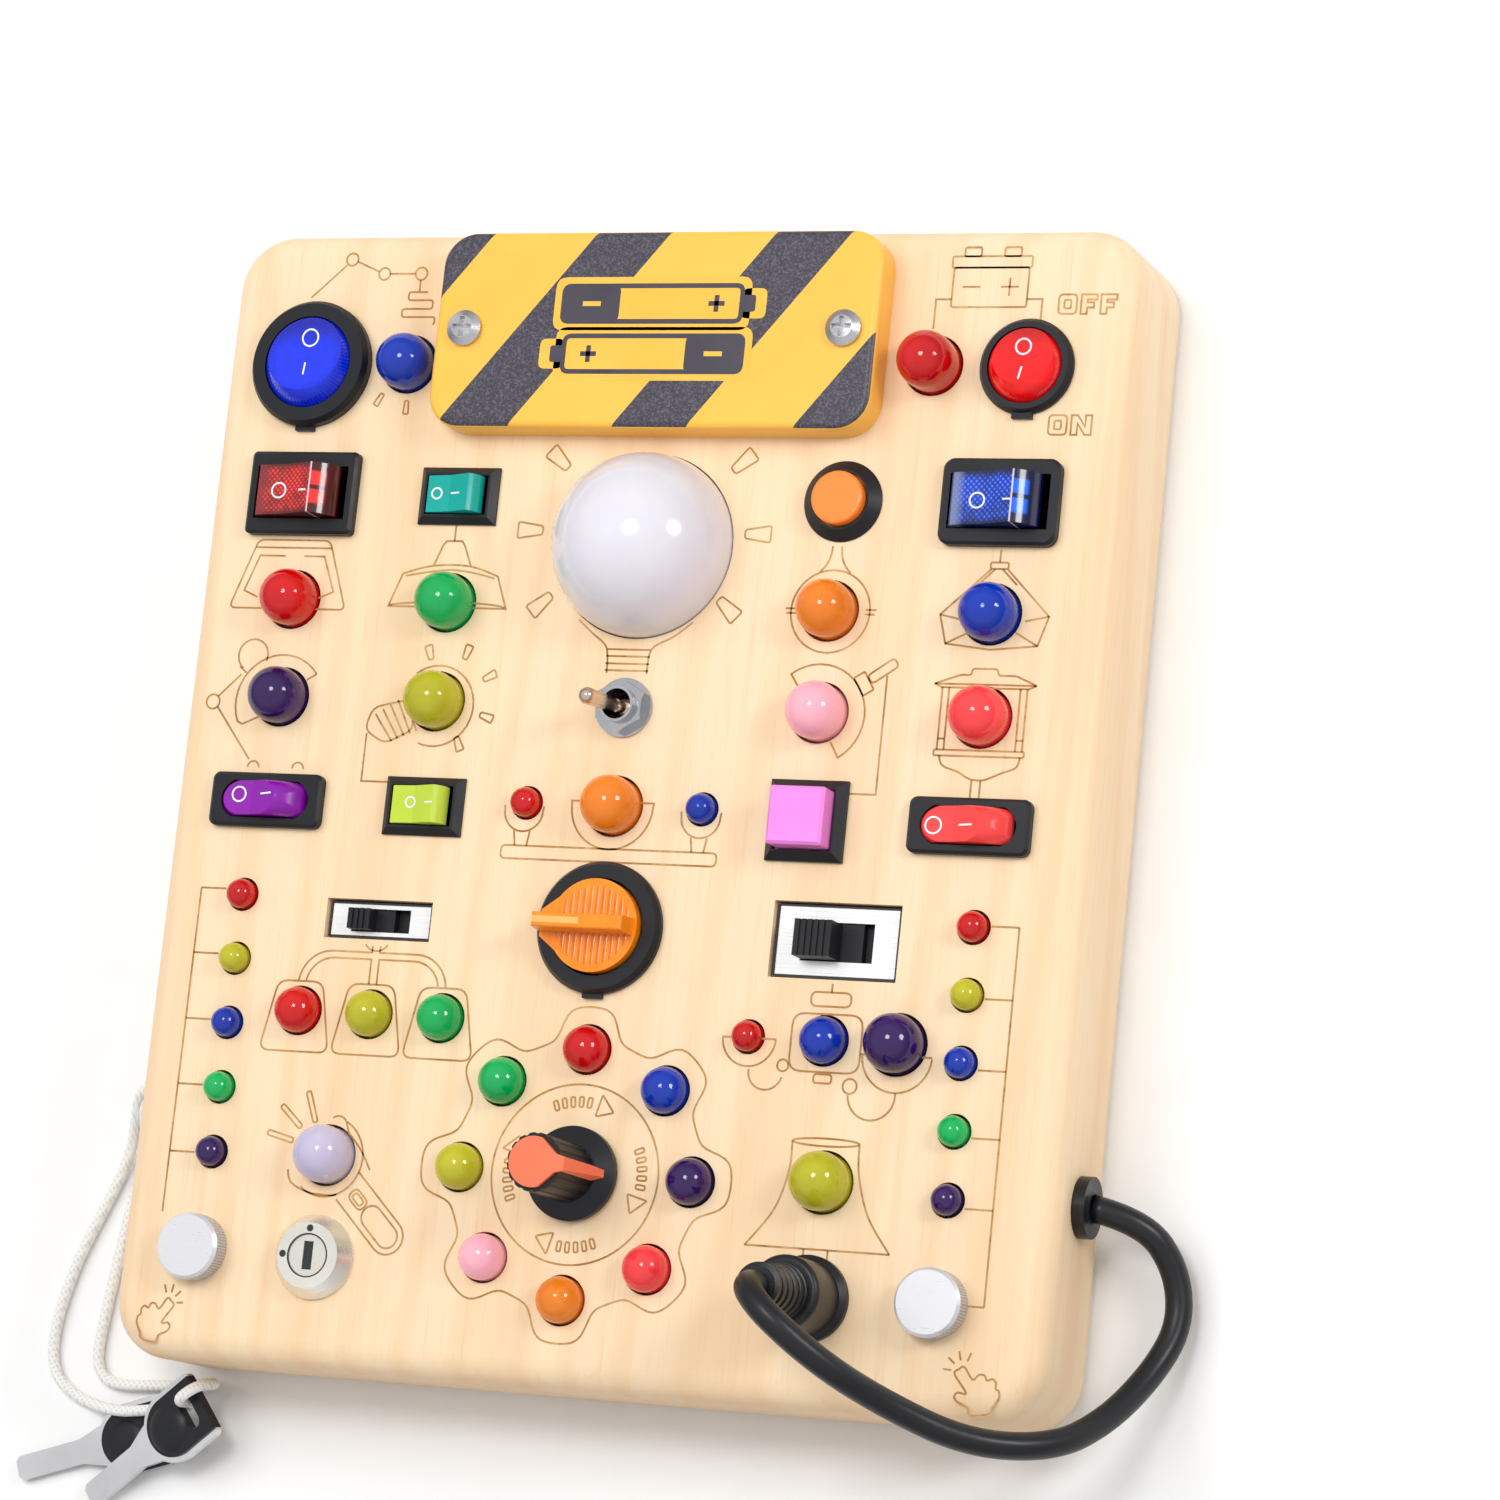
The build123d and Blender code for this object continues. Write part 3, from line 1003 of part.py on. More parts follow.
# ------------------------------------------------------------------ cable and cord
cable_points = [
    (socket_x, socket_y, relief_top), (socket_x, socket_y, 54.0), (49.8, -88.2, 57.9), (58.8, -95.4, 52.8),
    (66.6, -99.7, 43.1), (76.5, -103.1, 35.8), (88.7, -102.4, 27.8), (92.1, -97.1, 16.2),
    (99.4, -90.0, 7.2), (102.5, -81.4, 3.7), (101.3, -72.3, 4.4), (96.4, -65.1, 9.0),
    (cable_end_x, grommet_y, grommet_z)]
cord_points = [
    (cord_end_x, eyelet_y + eyelet_half, eyelet_z), (-90.2, -52.6, 11.2), (-93.3, -54.6, 8.9),
    (-95.3, -58.4, 5.3), (-97.0, -63.3, 2.3), (-99.5, -69.3, 1.0), (-102.4, -75.9, 1.1),
    (-106.2, -84.8, 1.0), (-108.4, -93.8, 1.1), (-109.0, -100.6, 1.0), (-107.2, -105.6, 1.1),
    (-103.2, -108.3, 1.0), (-99.4, -109.6, 1.3), (-96.0, -110.2, 3.1), (-92.0, -110.6, 3.4),
    (-88.0, -110.1, 3.3), (-84.5, -109.6, 3.3), (-81.6, -109.3, 2.9), (-79.2, -108.8, 3.1),
    (-77.5, -108.1, 4.3), (-77.0, -107.95, 6.5), (-77.4, -108.25, 8.9), (-77.1, -108.0, 10.6),
    (-76.0, -107.2, 11.6), (-74.5, -106.0, 11.5), (-73.4, -105.1, 10.3), (-73.0, -104.8, 8.4),
    (-73.0, -104.6, 6.3), (-73.8, -104.3, 4.2), (-75.5, -104.3, 2.5), (-78.1, -104.6, 1.5),
    (-81.2, -105.0, 1.0), (-84.6, -105.3, 1.1), (-88.1, -105.5, 1.0), (-93.0, -105.9, 1.1),
    (-97.0, -105.4, 1.0), (-99.2, -103.0, 1.1), (-99.6, -99.2, 1.0), (-98.8, -92.5, 1.1),
    (-97.9, -84.8, 1.0), (-96.8, -76.6, 1.1), (-95.4, -68.9, 1.2), (-94.1, -63.2, 2.8),
    (-92.9, -59.4, 6.0), (-91.8, -56.8, 9.3), (-89.4, -55.0, 11.1),
    (cord_end_x, eyelet_y - eyelet_half, eyelet_z)]


def bend_radii(points):
    """The largest even bend at each inner point: 0.45 of its shorter run over tan(half turn)."""
    steps = [Vector(*b) - Vector(*a) for a, b in zip(points, points[1:])]
    return [0.45 * min(a.length, b.length) / tan(radians(a.get_angle(b)) / 2)
            for a, b in zip(steps, steps[1:])]


def tube(points, r, radii):
    """A round cord along straight runs joined by tangent arcs; returns its path."""
    with BuildLine() as route:
        FilletPolyline(*points, radius=radii)
    path = route.wires()[0]
    with BuildSketch(Plane(points[0], z_dir=Vector(*points[1]) - Vector(*points[0]))) as section:
        Circle(r)
    sweep(section.sketch, path=path)
    return path


with BuildPart() as link_cable:
    cable_path = tube(cable_points, cable_r, bend_radii(cable_points))
link_cable.part.label = "link_cable"

with BuildPart() as key_cord:
    cord_path = tube(cord_points, cord_r, bend_radii(cord_points))
key_cord.part.label = "key_cord"

for name, part, path, points, r in (("cable", link_cable.part, cable_path, cable_points, cable_r),
                                    ("cord", key_cord.part, cord_path, cord_points, cord_r)):
    print(name, "length", round(path.length, 1), "radii", [round(value, 1) for value in bend_radii(points)])
    print(name, "volume over section times length", round(part.volume / (pi * r * r * path.length), 4))
    print(name, "lowest", round(part.bounding_box().min.Z, 2))


# ------------------------------------------------------------------ keys
def key_plane(place, heading, pitch, rest):
    """The plane of a key's underside: origin at the end of its head, X along the key."""
    h, p = radians(heading), radians(pitch)
    return Plane((*place, rest), x_dir=(cos(h) * cos(p), sin(h) * cos(p), -sin(p)),
                 z_dir=(cos(h) * sin(p), sin(h) * sin(p), cos(p)))


def key_outline():
    """Half of a key's outline, from its head's end to its tip, and the other half back."""
    half = [(key_bow_l, key_bow_r * 0.8), (key_neck_in, key_neck_w / 2),
            (key_neck_in + key_neck_l, key_blade_w / 2), (key_len - key_tip, key_blade_w / 2),
            (key_len, key_blade_w / 2 - key_tip)]
    return half + [(x, -y) for x, y in reversed(half)]


bow_in = key_bow_r - key_rim
key_planes = [key_plane(front_key, front_heading, front_pitch, front_rest),
              key_plane(rear_key, rear_heading, 0, 0)]
with BuildPart() as key_blades:
    for plane in key_planes:
        with BuildSketch(plane):
            with Locations((key_bow_l / 2, 0)):
                RectangleRounded(key_bow_l, 2 * key_bow_r, key_corner)
            with Locations((key_bow_l, 0)):
                Circle(key_bow_r)
            with BuildLine():
                Polyline(*key_outline(), close=True)
            make_face()
            with Locations((key_bow_l / 2 - 1, 0)):
                Rectangle(key_bow_l + 2, 2 * bow_in, mode=Mode.SUBTRACT)
            with Locations((key_bow_l, 0)):
                Circle(bow_in, mode=Mode.SUBTRACT)
        extrude(amount=key_t)
        with BuildSketch(plane):
            with Locations(((key_neck_in + key_neck_l + key_len) / 2, -key_blade_w / 2)):
                Rectangle(key_len - key_neck_in - key_neck_l, 2 * key_groove_w)
        extrude(amount=key_groove_d, mode=Mode.SUBTRACT)
key_blades.part.label = "key_blades"

with BuildPart() as key_heads:
    for plane in key_planes:
        with BuildSketch(plane):
            with Locations((key_bow_l / 2, 0)):
                Rectangle(key_bow_l, 2 * bow_in)
            with Locations((key_bow_l, 0)):
                Circle(bow_in)
            with Locations((key_hole_in, 0)):
                SlotOverall(key_hole_l, key_hole_w, rotation=90, mode=Mode.SUBTRACT)
        extrude(amount=key_t + key_proud)
key_heads.part.label = "key_heads"

# ------------------------------------------------------------------ terminals and wires
with BuildPart() as switch_terminals:
    for x, y in wide_places:
        blades(x, y, board_t - wide_depth, wide_spread)
    for x, y in small_places:
        blades(x, y, board_t - small_depth, small_spread)
    for x, y in slim_places:
        blades(x, y, board_t - slim_depth, slim_spread)
    blades(blue_round_x, row_round, board_t - big_ring_depth, round_spread)
    blades(red_round_x, row_round, board_t - red_ring_depth, red_spread)
    blades(push_x, row_switch, board_t - push_depth, push_spread)
    blades(col_c, row_low, board_t - square_depth, square_spread)
    blades(slide_small_x, row_slide, cavity_floor - slide_floor, slide_small_spread)
    blades(slide_big_x, row_slide, cavity_floor - slide_floor, slide_big_spread)
    blades(mid_x, toggle_y, hollow_top - toggle_body_d, toggle_spread)
    blades(mid_x, selector_y, selector_low, selector_spread)
    blades(lock_x, lock_y, board_t - lock_depth, lock_spread)
    with BuildSketch(Plane((mid_x, knob_y, rotary_low))):
        with PolarLocations(rotary_pin_circle, rotary_pins, start_angle=90):
            Circle(rotary_pin_r)
    extrude(amount=terminal_end - rotary_low)
    with BuildSketch(Plane((0, 0, hollow_top - lamp_rim_t))):
        with Locations(*[(x + side * lead_half, y) for x, y in lamp_spots() for side in (-1, 1)]):
            Rectangle(lead_w, lead_w)
    extrude(amount=-lead_len)
switch_terminals.part.label = "switch_terminals"

# each wire joins two terminals, named by switch place and offset, in a straight line
wire_runs = [
    ((blue_round_x, row_round, round_spread), (col_a, row_switch, wide_spread)),
    ((col_a, row_switch, wide_spread), (col_b, row_switch, -small_spread)),
    ((col_b, row_switch, small_spread), (push_x, row_switch, -push_spread)),
    ((push_x, row_switch, push_spread), (col_d, row_switch, -wide_spread)),
    ((col_a, row_low, slim_spread), (col_b, row_low, -small_spread)),
    ((col_b, row_low, small_spread), (mid_x, toggle_y, -toggle_spread)),
    ((mid_x, toggle_y, toggle_spread), (col_c, row_low, -square_spread)),
    ((col_c, row_low, square_spread), (col_d, row_low, -slim_spread)),
    ((slide_small_x, row_slide, slide_small_spread), (mid_x, selector_y, -selector_spread)),
    ((mid_x, selector_y, selector_spread), (slide_big_x, row_slide, -slide_big_spread))]
with BuildPart() as wiring:
    for (x1, y1, s1), (x2, y2, s2) in wire_runs:
        (ax, ay), (bx, by) = (x1 + s1, y1 - wire_side), (x2 + s2, y2 + wire_side)
        tube([(ax, ay, terminal_end), (ax, ay, wire_z), (bx, by, wire_z), (bx, by, terminal_end)], wire_r,
             wire_bend)
wiring.part.label = "wiring"

# ------------------------------------------------------------------ export
named = [wooden_body, back_panel, battery_cover, cover_screws, battery_box, battery_cells, battery_contacts,
         wide_rocker_housings, small_rocker_housings, slim_rocker_housings, round_rocker_housings,
         rocker_red, rocker_blue, rocker_teal, rocker_lime, rocker_purple, rocker_coral, round_rocker_blue,
         round_rocker_red, button_housings, round_button_cap, square_button_cap, slide_plates, slide_bodies,
         small_slider, large_slider, toggle_body, toggle_bush, toggle_nut, toggle_lever, selector_housing,
         selector_handle, rotary_switch, pointer_knob, knob_shaft, pointer_cap, dome_lens,
         circuit_boards, lock_barrel, lock_rotor, touch_studs, plug_socket, cable_plug, panel_nuts,
         side_grommets, link_cable, key_cord, key_blades, key_heads, switch_terminals, wiring]
for piece in [item.part for item in named] + lamp_parts:
    export_step(piece, "parts/" + piece.label + ".step")
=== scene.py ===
"""Looks of the wooden busy board: materials, cable, cord, marks, burnt icons, print, floor and lights.

Places and sizes are millimetres in the model's own frame, and MM turns them into Blender's metres.
Inside the materials all lengths are metres. The board lies on its back.
"""
import bpy
import json
from math import atan2, cos, degrees, dist, pi, radians, sin, tanh
from mathutils import Matrix, Vector
from mathutils.bvhtree import BVHTree


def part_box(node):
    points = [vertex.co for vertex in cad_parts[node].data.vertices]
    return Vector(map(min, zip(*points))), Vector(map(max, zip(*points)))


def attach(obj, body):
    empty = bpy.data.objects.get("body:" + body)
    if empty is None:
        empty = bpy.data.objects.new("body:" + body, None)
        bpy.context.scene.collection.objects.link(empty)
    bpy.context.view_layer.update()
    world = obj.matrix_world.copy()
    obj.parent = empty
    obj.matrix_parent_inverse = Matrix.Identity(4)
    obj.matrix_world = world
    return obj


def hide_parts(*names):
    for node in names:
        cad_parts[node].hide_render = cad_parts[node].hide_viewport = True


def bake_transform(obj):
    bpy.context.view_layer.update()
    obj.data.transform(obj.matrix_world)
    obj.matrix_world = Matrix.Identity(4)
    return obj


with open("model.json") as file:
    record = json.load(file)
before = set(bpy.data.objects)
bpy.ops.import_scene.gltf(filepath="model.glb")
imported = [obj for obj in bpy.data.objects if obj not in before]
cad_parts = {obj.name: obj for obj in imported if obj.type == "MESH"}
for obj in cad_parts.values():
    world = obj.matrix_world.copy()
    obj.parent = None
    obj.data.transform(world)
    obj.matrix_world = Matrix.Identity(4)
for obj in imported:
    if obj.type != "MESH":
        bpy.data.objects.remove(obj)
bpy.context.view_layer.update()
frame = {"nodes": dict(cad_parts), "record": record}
nodes = frame["nodes"]
MM = 0.001
FACE = 24.0              # height of the board's face
PLATE = 30.2             # height of the battery cover's top
SKIN = 0.03              # height of a mark or a burnt line above its surface
LOCK = (-47.1, -82.2)    # middles of the lock, the pointer knob, the selector and the two studs
KNOB = (-0.2, -65.0)
SELECTOR = (-0.2, -22.7)
LEFT_STUD_X, RIGHT_STUD_X, STUD_Y = -70.1, 66.5, -82.25


def placed(name, data):
    """An object with that data, linked to the scene."""
    made = bpy.data.objects.new(name, data)
    bpy.context.scene.collection.objects.link(made)
    return made


def piece_of(made, body="board"):
    """A new piece: it rides on the body."""
    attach(made, body)
    return made


# ------------------------------------------------------------------ camera
EYE = Vector((354.61, -142.16, 827.21))
FOCAL_LENGTH, SENSOR_WIDTH, NEAREST = 124.3, 36.0, 20.0
right, up, ahead = (Vector(v) for v in ((0.92647, 0.10126, -0.36248), (-0.03003, 0.97994, 0.19700),
                                        (-0.37516, 0.17162, -0.91093)))
camera_data = bpy.data.cameras.new("camera")
camera_data.lens, camera_data.sensor_width = FOCAL_LENGTH, SENSOR_WIDTH
camera_data.clip_start = NEAREST * MM
camera = placed("camera", camera_data)
camera.matrix_world = Matrix.Translation(EYE * MM) @ Matrix((right, up, -ahead)).transposed().to_4x4()
bpy.context.scene.camera = camera
bpy.context.scene.view_settings.view_transform = "Standard"


# ------------------------------------------------------------------ nodes of materials
def rgb(code):
    """Linear colour of a hex code."""
    values = [int(code[i:i + 2], 16) / 255 for i in (1, 3, 5)]
    return [v / 12.92 if v <= 0.04045 else ((v + 0.055) / 1.055) ** 2.4 for v in values] + [1.0]


def add(mat, kind, inputs=None, **settings):
    """A node with its settings, and its inputs set to values or linked to (node, output) pairs."""
    made = mat.node_tree.nodes.new("ShaderNode" + kind)
    for key, value in settings.items():
        setattr(made, key, value)
    for key, value in (inputs or {}).items():
        if isinstance(value, tuple) and isinstance(value[0], bpy.types.Node):
            mat.node_tree.links.new(value[0].outputs[value[1]], made.inputs[key])
        else:
            made.inputs[key].default_value = value
    return made


def shader(name, **sockets):
    """A Principled material with its uniform sockets set."""
    mat = bpy.data.materials.new(name)
    mat.use_nodes = True
    for key, value in sockets.items():
        mat.node_tree.nodes["Principled BSDF"].inputs[key.replace("_", " ")].default_value = value
    return mat


def stretched(mat, scale=(1, 1, 1), rotation=(0, 0, 0)):
    """Object coordinates, scaled along X, Y and Z."""
    place = (add(mat, "TexCoord"), "Object")
    return (add(mat, "Mapping", {"Vector": place, "Scale": scale, "Rotation": rotation}), "Vector")


def parts_of(mat, kind, output):
    """X, Y and Z of a vector that a node of that kind gives."""
    split = add(mat, "SeparateXYZ", {"Vector": (add(mat, kind), output)})
    return [(split, axis) for axis in "XYZ"]


def place_of(mat):
    return parts_of(mat, "TexCoord", "Object")


def facing_of(mat):
    """The surface's own direction, whatever the camera."""
    return parts_of(mat, "NewGeometry", "Normal")


def calc(mat, operation, a, b=0.0):
    return (add(mat, "Math", {0: a, 1: b}, operation=operation), "Value")


def times(mat, product, *others):
    for other in others:
        product = calc(mat, "MULTIPLY", product, other)
    return product


def waves(mat, value, pace):
    """A wave between -1 and 1 along the value, of 2 pi / pace from crest to crest."""
    return calc(mat, "SINE", times(mat, value, pace))


def about(mat, x0, y0):
    """X and Y measured from a middle that is given in mm."""
    x, y, _ = place_of(mat)
    return calc(mat, "SUBTRACT", x, x0 * MM), calc(mat, "SUBTRACT", y, y0 * MM)


def length_of(mat, x, y):
    return calc(mat, "SQRT", calc(mat, "ADD", times(mat, x, x), times(mat, y, y)))


def mixed(mat, factor, a, b):
    """Colour between a and b, which are hex codes or outputs."""
    made = add(mat, "Mix", {"Factor": factor}, data_type="RGBA")
    for socket, value in ((made.inputs[6], a), (made.inputs[7], b)):
        if isinstance(value, str):
            socket.default_value = rgb(value)
        else:
            mat.node_tree.links.new(value[0].outputs[value[1]], socket)
    return (made, 2)


def ranged(mat, value, low, high, out_low, out_high):
    return (add(mat, "MapRange", {"Value": value, "From Min": low, "From Max": high, "To Min": out_low,
                                  "To Max": out_high}), "Result")


def noise(mat, scale, detail=3.0, rough=0.55, vector=None):
    """Noise of that scale over the object's coordinates, or over the vector."""
    return (add(mat, "TexNoise", {"Vector": vector or stretched(mat), "Scale": scale, "Detail": detail,
                                  "Roughness": rough}), "Fac")


def grain(mat, stretch, detail=3.0, rough=0.55, rotation=(0, 0, 0)):
    """Noise drawn out along one direction: stretch is how often it changes along X, Y and Z."""
    return noise(mat, 1.0, detail, rough, stretched(mat, stretch, rotation))


def wire_up(mat, color, roughness, height, depth, strength):
    """Links colour, roughness if it varies, and a bump to the Principled shader."""
    body = mat.node_tree.nodes["Principled BSDF"]
    bump = add(mat, "Bump", {"Height": height, "Distance": depth, "Strength": strength})
    for output, socket in ((color, "Base Color"), (roughness, "Roughness"), ((bump, "Normal"), "Normal")):
        if output:
            mat.node_tree.links.new(output[0].outputs[output[1]], body.inputs[socket])


# ------------------------------------------------------------------ kinds of material
def plastic(name, color, darker, rough=0.35, spread=0.08, fineness=900.0, depth=0.00002, strength=0.35,
            vary=0.5, **sockets):
    """Moulded plastic: slight clouding of the colour, uneven gloss and a fine surface grain."""
    mat = shader(name, **sockets)
    cloud, fine = noise(mat, 90.0, 4.0), noise(mat, fineness, 2.0)
    wire_up(mat, mixed(mat, ranged(mat, cloud, 0.35, 0.7, 0.0, vary), color, darker),
            ranged(mat, cloud, 0.3, 0.7, rough - spread, rough + spread), fine, depth, strength)
    return mat


def printed(name, color, darker, rough=0.5):
    return plastic(name, color, darker, rough, 0.05, 2200.0, 0.00001, 0.25, 0.6)


def wood(name, light, tan, dark, rough=0.5):
    """Pine: long grain along Y, broad rings, fine fibres and darker end grain."""
    mat = shader(name, Specular_IOR_Level=0.35, Coat_Weight=0.12, Coat_Roughness=0.35)
    ring_pace, broad_pace, sway_reach, lean = 520.0, 140.0, 0.022, 0.8
    x, _, z = place_of(mat)
    # the rings of the trunk are cut nearly along the board: bands in X that wander along Y
    sway = grain(mat, (9, 3.0, 9), 2.0)
    bent = calc(mat, "ADD", calc(mat, "ADD", x, times(mat, z, lean)),
                ranged(mat, sway, 0.2, 0.8, -sway_reach, sway_reach))
    streak = grain(mat, (420, 9, 420), 5.0, 0.6)
    fibre = grain(mat, (2600, 60, 2600), 2.0, 0.6)
    patch = grain(mat, (26, 7, 26))
    end = calc(mat, "ABSOLUTE", facing_of(mat)[1])
    color = light
    for share, low, high, most, tone in (
            (waves(mat, bent, ring_pace), 0.1, 1.0, 0.42, tan),
            (waves(mat, bent, broad_pace), 0.2, 1.0, 0.42, tan),
            (streak, 0.52, 0.75, 0.55, tan), (patch, 0.55, 0.75, 0.35, tan),
            (fibre, 0.58, 0.85, 0.35, dark), (end, 0.6, 1.0, 0.35, dark)):
        color = mixed(mat, ranged(mat, share, low, high, 0.0, most), color, tone)
    wire_up(mat, color, ranged(mat, streak, 0.3, 0.8, rough - 0.08, rough + 0.1), fibre, 0.00003, 0.25)
    return mat


def metal(name, color, darker, rough, stretch, depth=0.00001, strength=0.4, metallic=1.0):
    """Bright metal with fine brush lines along the stretched direction."""
    mat = shader(name, Metallic=metallic)
    lines, cloud = grain(mat, stretch, 3.0, 0.65), noise(mat, 70.0)
    wire_up(mat, mixed(mat, ranged(mat, cloud, 0.35, 0.7, 0.0, 0.6), color, darker),
            ranged(mat, lines, 0.3, 0.7, rough * 0.75, rough * 1.3), lines, depth, strength)
    return mat


def clear_rocker(name, x0, y0, pale, main, bright, lit, deep):
    """Clear coloured rocker: a pale left end, a dotted window, a painted highlight along the bend and bright
    panes at the right.
    """
    mat = shader(name, Specular_IOR_Level=0.5, Coat_Weight=0.3, Coat_Roughness=0.03)
    dot_pace = 2 * pi / 0.00105
    bend_highlight_x, bend_highlight_half = 0.0038, 0.00016
    x, y = about(mat, x0, y0)
    off = calc(mat, "ABSOLUTE", y)
    dots = times(mat, waves(mat, y, dot_pace), waves(mat, x, dot_pace))
    cloud = noise(mat, 350.0)
    color = mixed(mat, ranged(mat, dots, 0.05, 0.5, 0.0, 0.8), main, lit)
    color = mixed(mat, ranged(mat, cloud, 0.42, 0.66, 0.0, 0.6), color, deep)
    panes = times(mat, ranged(mat, off, 0.0003, 0.0005, 0.0, 1.0), ranged(mat, off, 0.0027, 0.0031, 1.0, 0.0),
                  ranged(mat, x, 0.0060, 0.0064, 1.0, 0.0))
    color = mixed(mat, ranged(mat, x, 0.0037, 0.0039, 0.0, 1.0), color, mixed(mat, panes, deep, bright))
    color = mixed(mat, ranged(mat, off, 0.0032, 0.0043, 0.0, 0.9), color, deep)
    color = mixed(mat, ranged(mat, x, -0.0070, -0.0054, 0.8, 0.0), color, pale)
    # painted highlight: a pale near-white line along the rocker's bend
    bend_highlight = calc(mat, "LESS_THAN", calc(mat, "ABSOLUTE", calc(mat, "SUBTRACT", x, bend_highlight_x)), bend_highlight_half)
    color = mixed(mat, times(mat, bend_highlight, 0.75), color, "#F4E4EA")
    wire_up(mat, color, ranged(mat, cloud, 0.3, 0.7, 0.12, 0.2), cloud, 0.00001, 0.2)
    return mat


def round_rocker_look(name, x0, y0, main, deep):
    """Clear coloured round rocker: a finely grooved rim round a smoother middle."""
    mat = shader(name, Specular_IOR_Level=0.45, Coat_Weight=0.2, Coat_Roughness=0.03)
    groove_count = 72.0
    x, y = about(mat, x0, y0)
    flutes = waves(mat, calc(mat, "ARCTAN2", y, x), groove_count)
    rim = ranged(mat, length_of(mat, x, y), 0.0052, 0.0072, 0.0, 1.0)
    cloud = noise(mat, 300.0)
    color = mixed(mat, times(mat, rim, ranged(mat, flutes, -0.5, 1.0, 0.15, 0.75)), main, deep)
    color = mixed(mat, ranged(mat, y, 0.0022, 0.0072, 0.0, 0.75), color, deep)
    color = mixed(mat, ranged(mat, cloud, 0.4, 0.7, 0.0, 0.35), color, deep)
    wire_up(mat, color, ranged(mat, cloud, 0.3, 0.7, 0.08, 0.15), times(mat, flutes, rim), 0.00004, 0.35)
    return mat


def stripes_look():
    """Yellow painted plate with speckled dark hazard stripes printed on its flat top."""
    mat = shader("yellow_plate", Coat_Weight=0.15, Coat_Roughness=0.3)
    foot_y, slope, first, pitch, stripe = 0.0656, 790.0, 38.6, 33.8, 14.0
    x, y, z = place_of(mat)
    along = calc(mat, "SUBTRACT", times(mat, x, 1000.0), times(mat, calc(mat, "SUBTRACT", y, foot_y), slope))
    phase = calc(mat, "FLOORED_MODULO", calc(mat, "ADD", along, first), pitch)
    flat = calc(mat, "GREATER_THAN", facing_of(mat)[2], 0.6)
    high = calc(mat, "GREATER_THAN", z, 0.0295)
    speck, cloud = noise(mat, 2600.0, 3.0, 0.7), noise(mat, 60.0, 4.0)
    ink = mixed(mat, ranged(mat, speck, 0.46, 0.66, 0.0, 1.0), "#302C38", "#625D6B")
    paint = mixed(mat, ranged(mat, cloud, 0.35, 0.7, 0.0, 0.5), "#FCC04A", "#F5B338")
    on = times(mat, calc(mat, "LESS_THAN", phase, stripe), flat, high)
    wire_up(mat, mixed(mat, on, paint, ink), ranged(mat, speck, 0.3, 0.7, 0.38, 0.5), speck, 0.00002, 0.3)
    return mat


def selector_look():
    """Clear orange handle with fine ribs and a painted highlight along the top of its bar."""
    mat = shader("orange_clear", Specular_IOR_Level=0.4, Coat_Weight=0.2, Coat_Roughness=0.04)
    rib_pitch, plate_top, bar_low, bar_highlight_half, bar_highlight_end = 0.00115, 0.0279, 0.0312, 0.00055, -0.0008
    x, y = about(mat, *SELECTOR)
    z = place_of(mat)[2]
    ribs = times(mat, ranged(mat, waves(mat, x, 2 * pi / rib_pitch), -0.3, 0.6, 0.0, 1.0),
                 calc(mat, "LESS_THAN", z, plate_top),
                 ranged(mat, length_of(mat, x, y), 0.0066, 0.0070, 1.0, 0.15))
    # painted highlight: paler along the middle of the bar's top, on the half towards -X
    bar_highlight = times(mat, calc(mat, "LESS_THAN", calc(mat, "ABSOLUTE", y), bar_highlight_half),
                  calc(mat, "LESS_THAN", x, bar_highlight_end), calc(mat, "GREATER_THAN", z, bar_low))
    cloud = noise(mat, 350.0)
    color = mixed(mat, times(mat, ribs, 0.75), "#F98A0C", "#D45A02")
    color = mixed(mat, ranged(mat, cloud, 0.4, 0.7, 0.0, 0.3), color, "#FFA62A")
    # the painted highlight on the bar
    color = mixed(mat, times(mat, bar_highlight, 0.8), color, "#FFC070")
    wire_up(mat, color, ranged(mat, cloud, 0.3, 0.7, 0.1, 0.2), ribs, 0.00008, 0.5)
    return mat


def stud_look():
    """Plated studs: a brushed flat top and a knurled side, with painted shade in the knurl's grooves."""
    mat = shader("knurled_studs", Metallic=0.55)
    knurls_round, knurl_pitch, brush_share = 34.0, 0.0011, 0.012
    x, y, z = place_of(mat)
    on_right = calc(mat, "GREATER_THAN", x, 0.0)
    middle = calc(mat, "SUBTRACT", times(mat, on_right, (RIGHT_STUD_X - LEFT_STUD_X) * MM), -LEFT_STUD_X * MM)
    turn = calc(mat, "ARCTAN2", calc(mat, "SUBTRACT", y, STUD_Y * MM), calc(mat, "SUBTRACT", x, middle))
    turn, rise = times(mat, turn, knurls_round), times(mat, z, 2 * pi / knurl_pitch)
    knurl = times(mat, *(calc(mat, "SINE", calc(mat, way, turn, rise)) for way in ("ADD", "SUBTRACT")))
    wall = ranged(mat, calc(mat, "ABSOLUTE", facing_of(mat)[2]), 0.3, 0.5, 1.0, 0.0)
    brush = grain(mat, (200, 3200, 200), 3.0, 0.6, (0, 0, 0.6))
    height = calc(mat, "ADD", times(mat, knurl, wall), times(mat, brush, brush_share))
    # painted shade: the side is darkened in the knurl's grooves
    color = mixed(mat, times(mat, wall, ranged(mat, knurl, -0.4, 0.5, 0.7, 0.0)), "#E4E4E8", "#85858C")
    wire_up(mat, color, ranged(mat, brush, 0.3, 0.7, 0.27, 0.34), height, 0.00015, 0.8)
    return mat


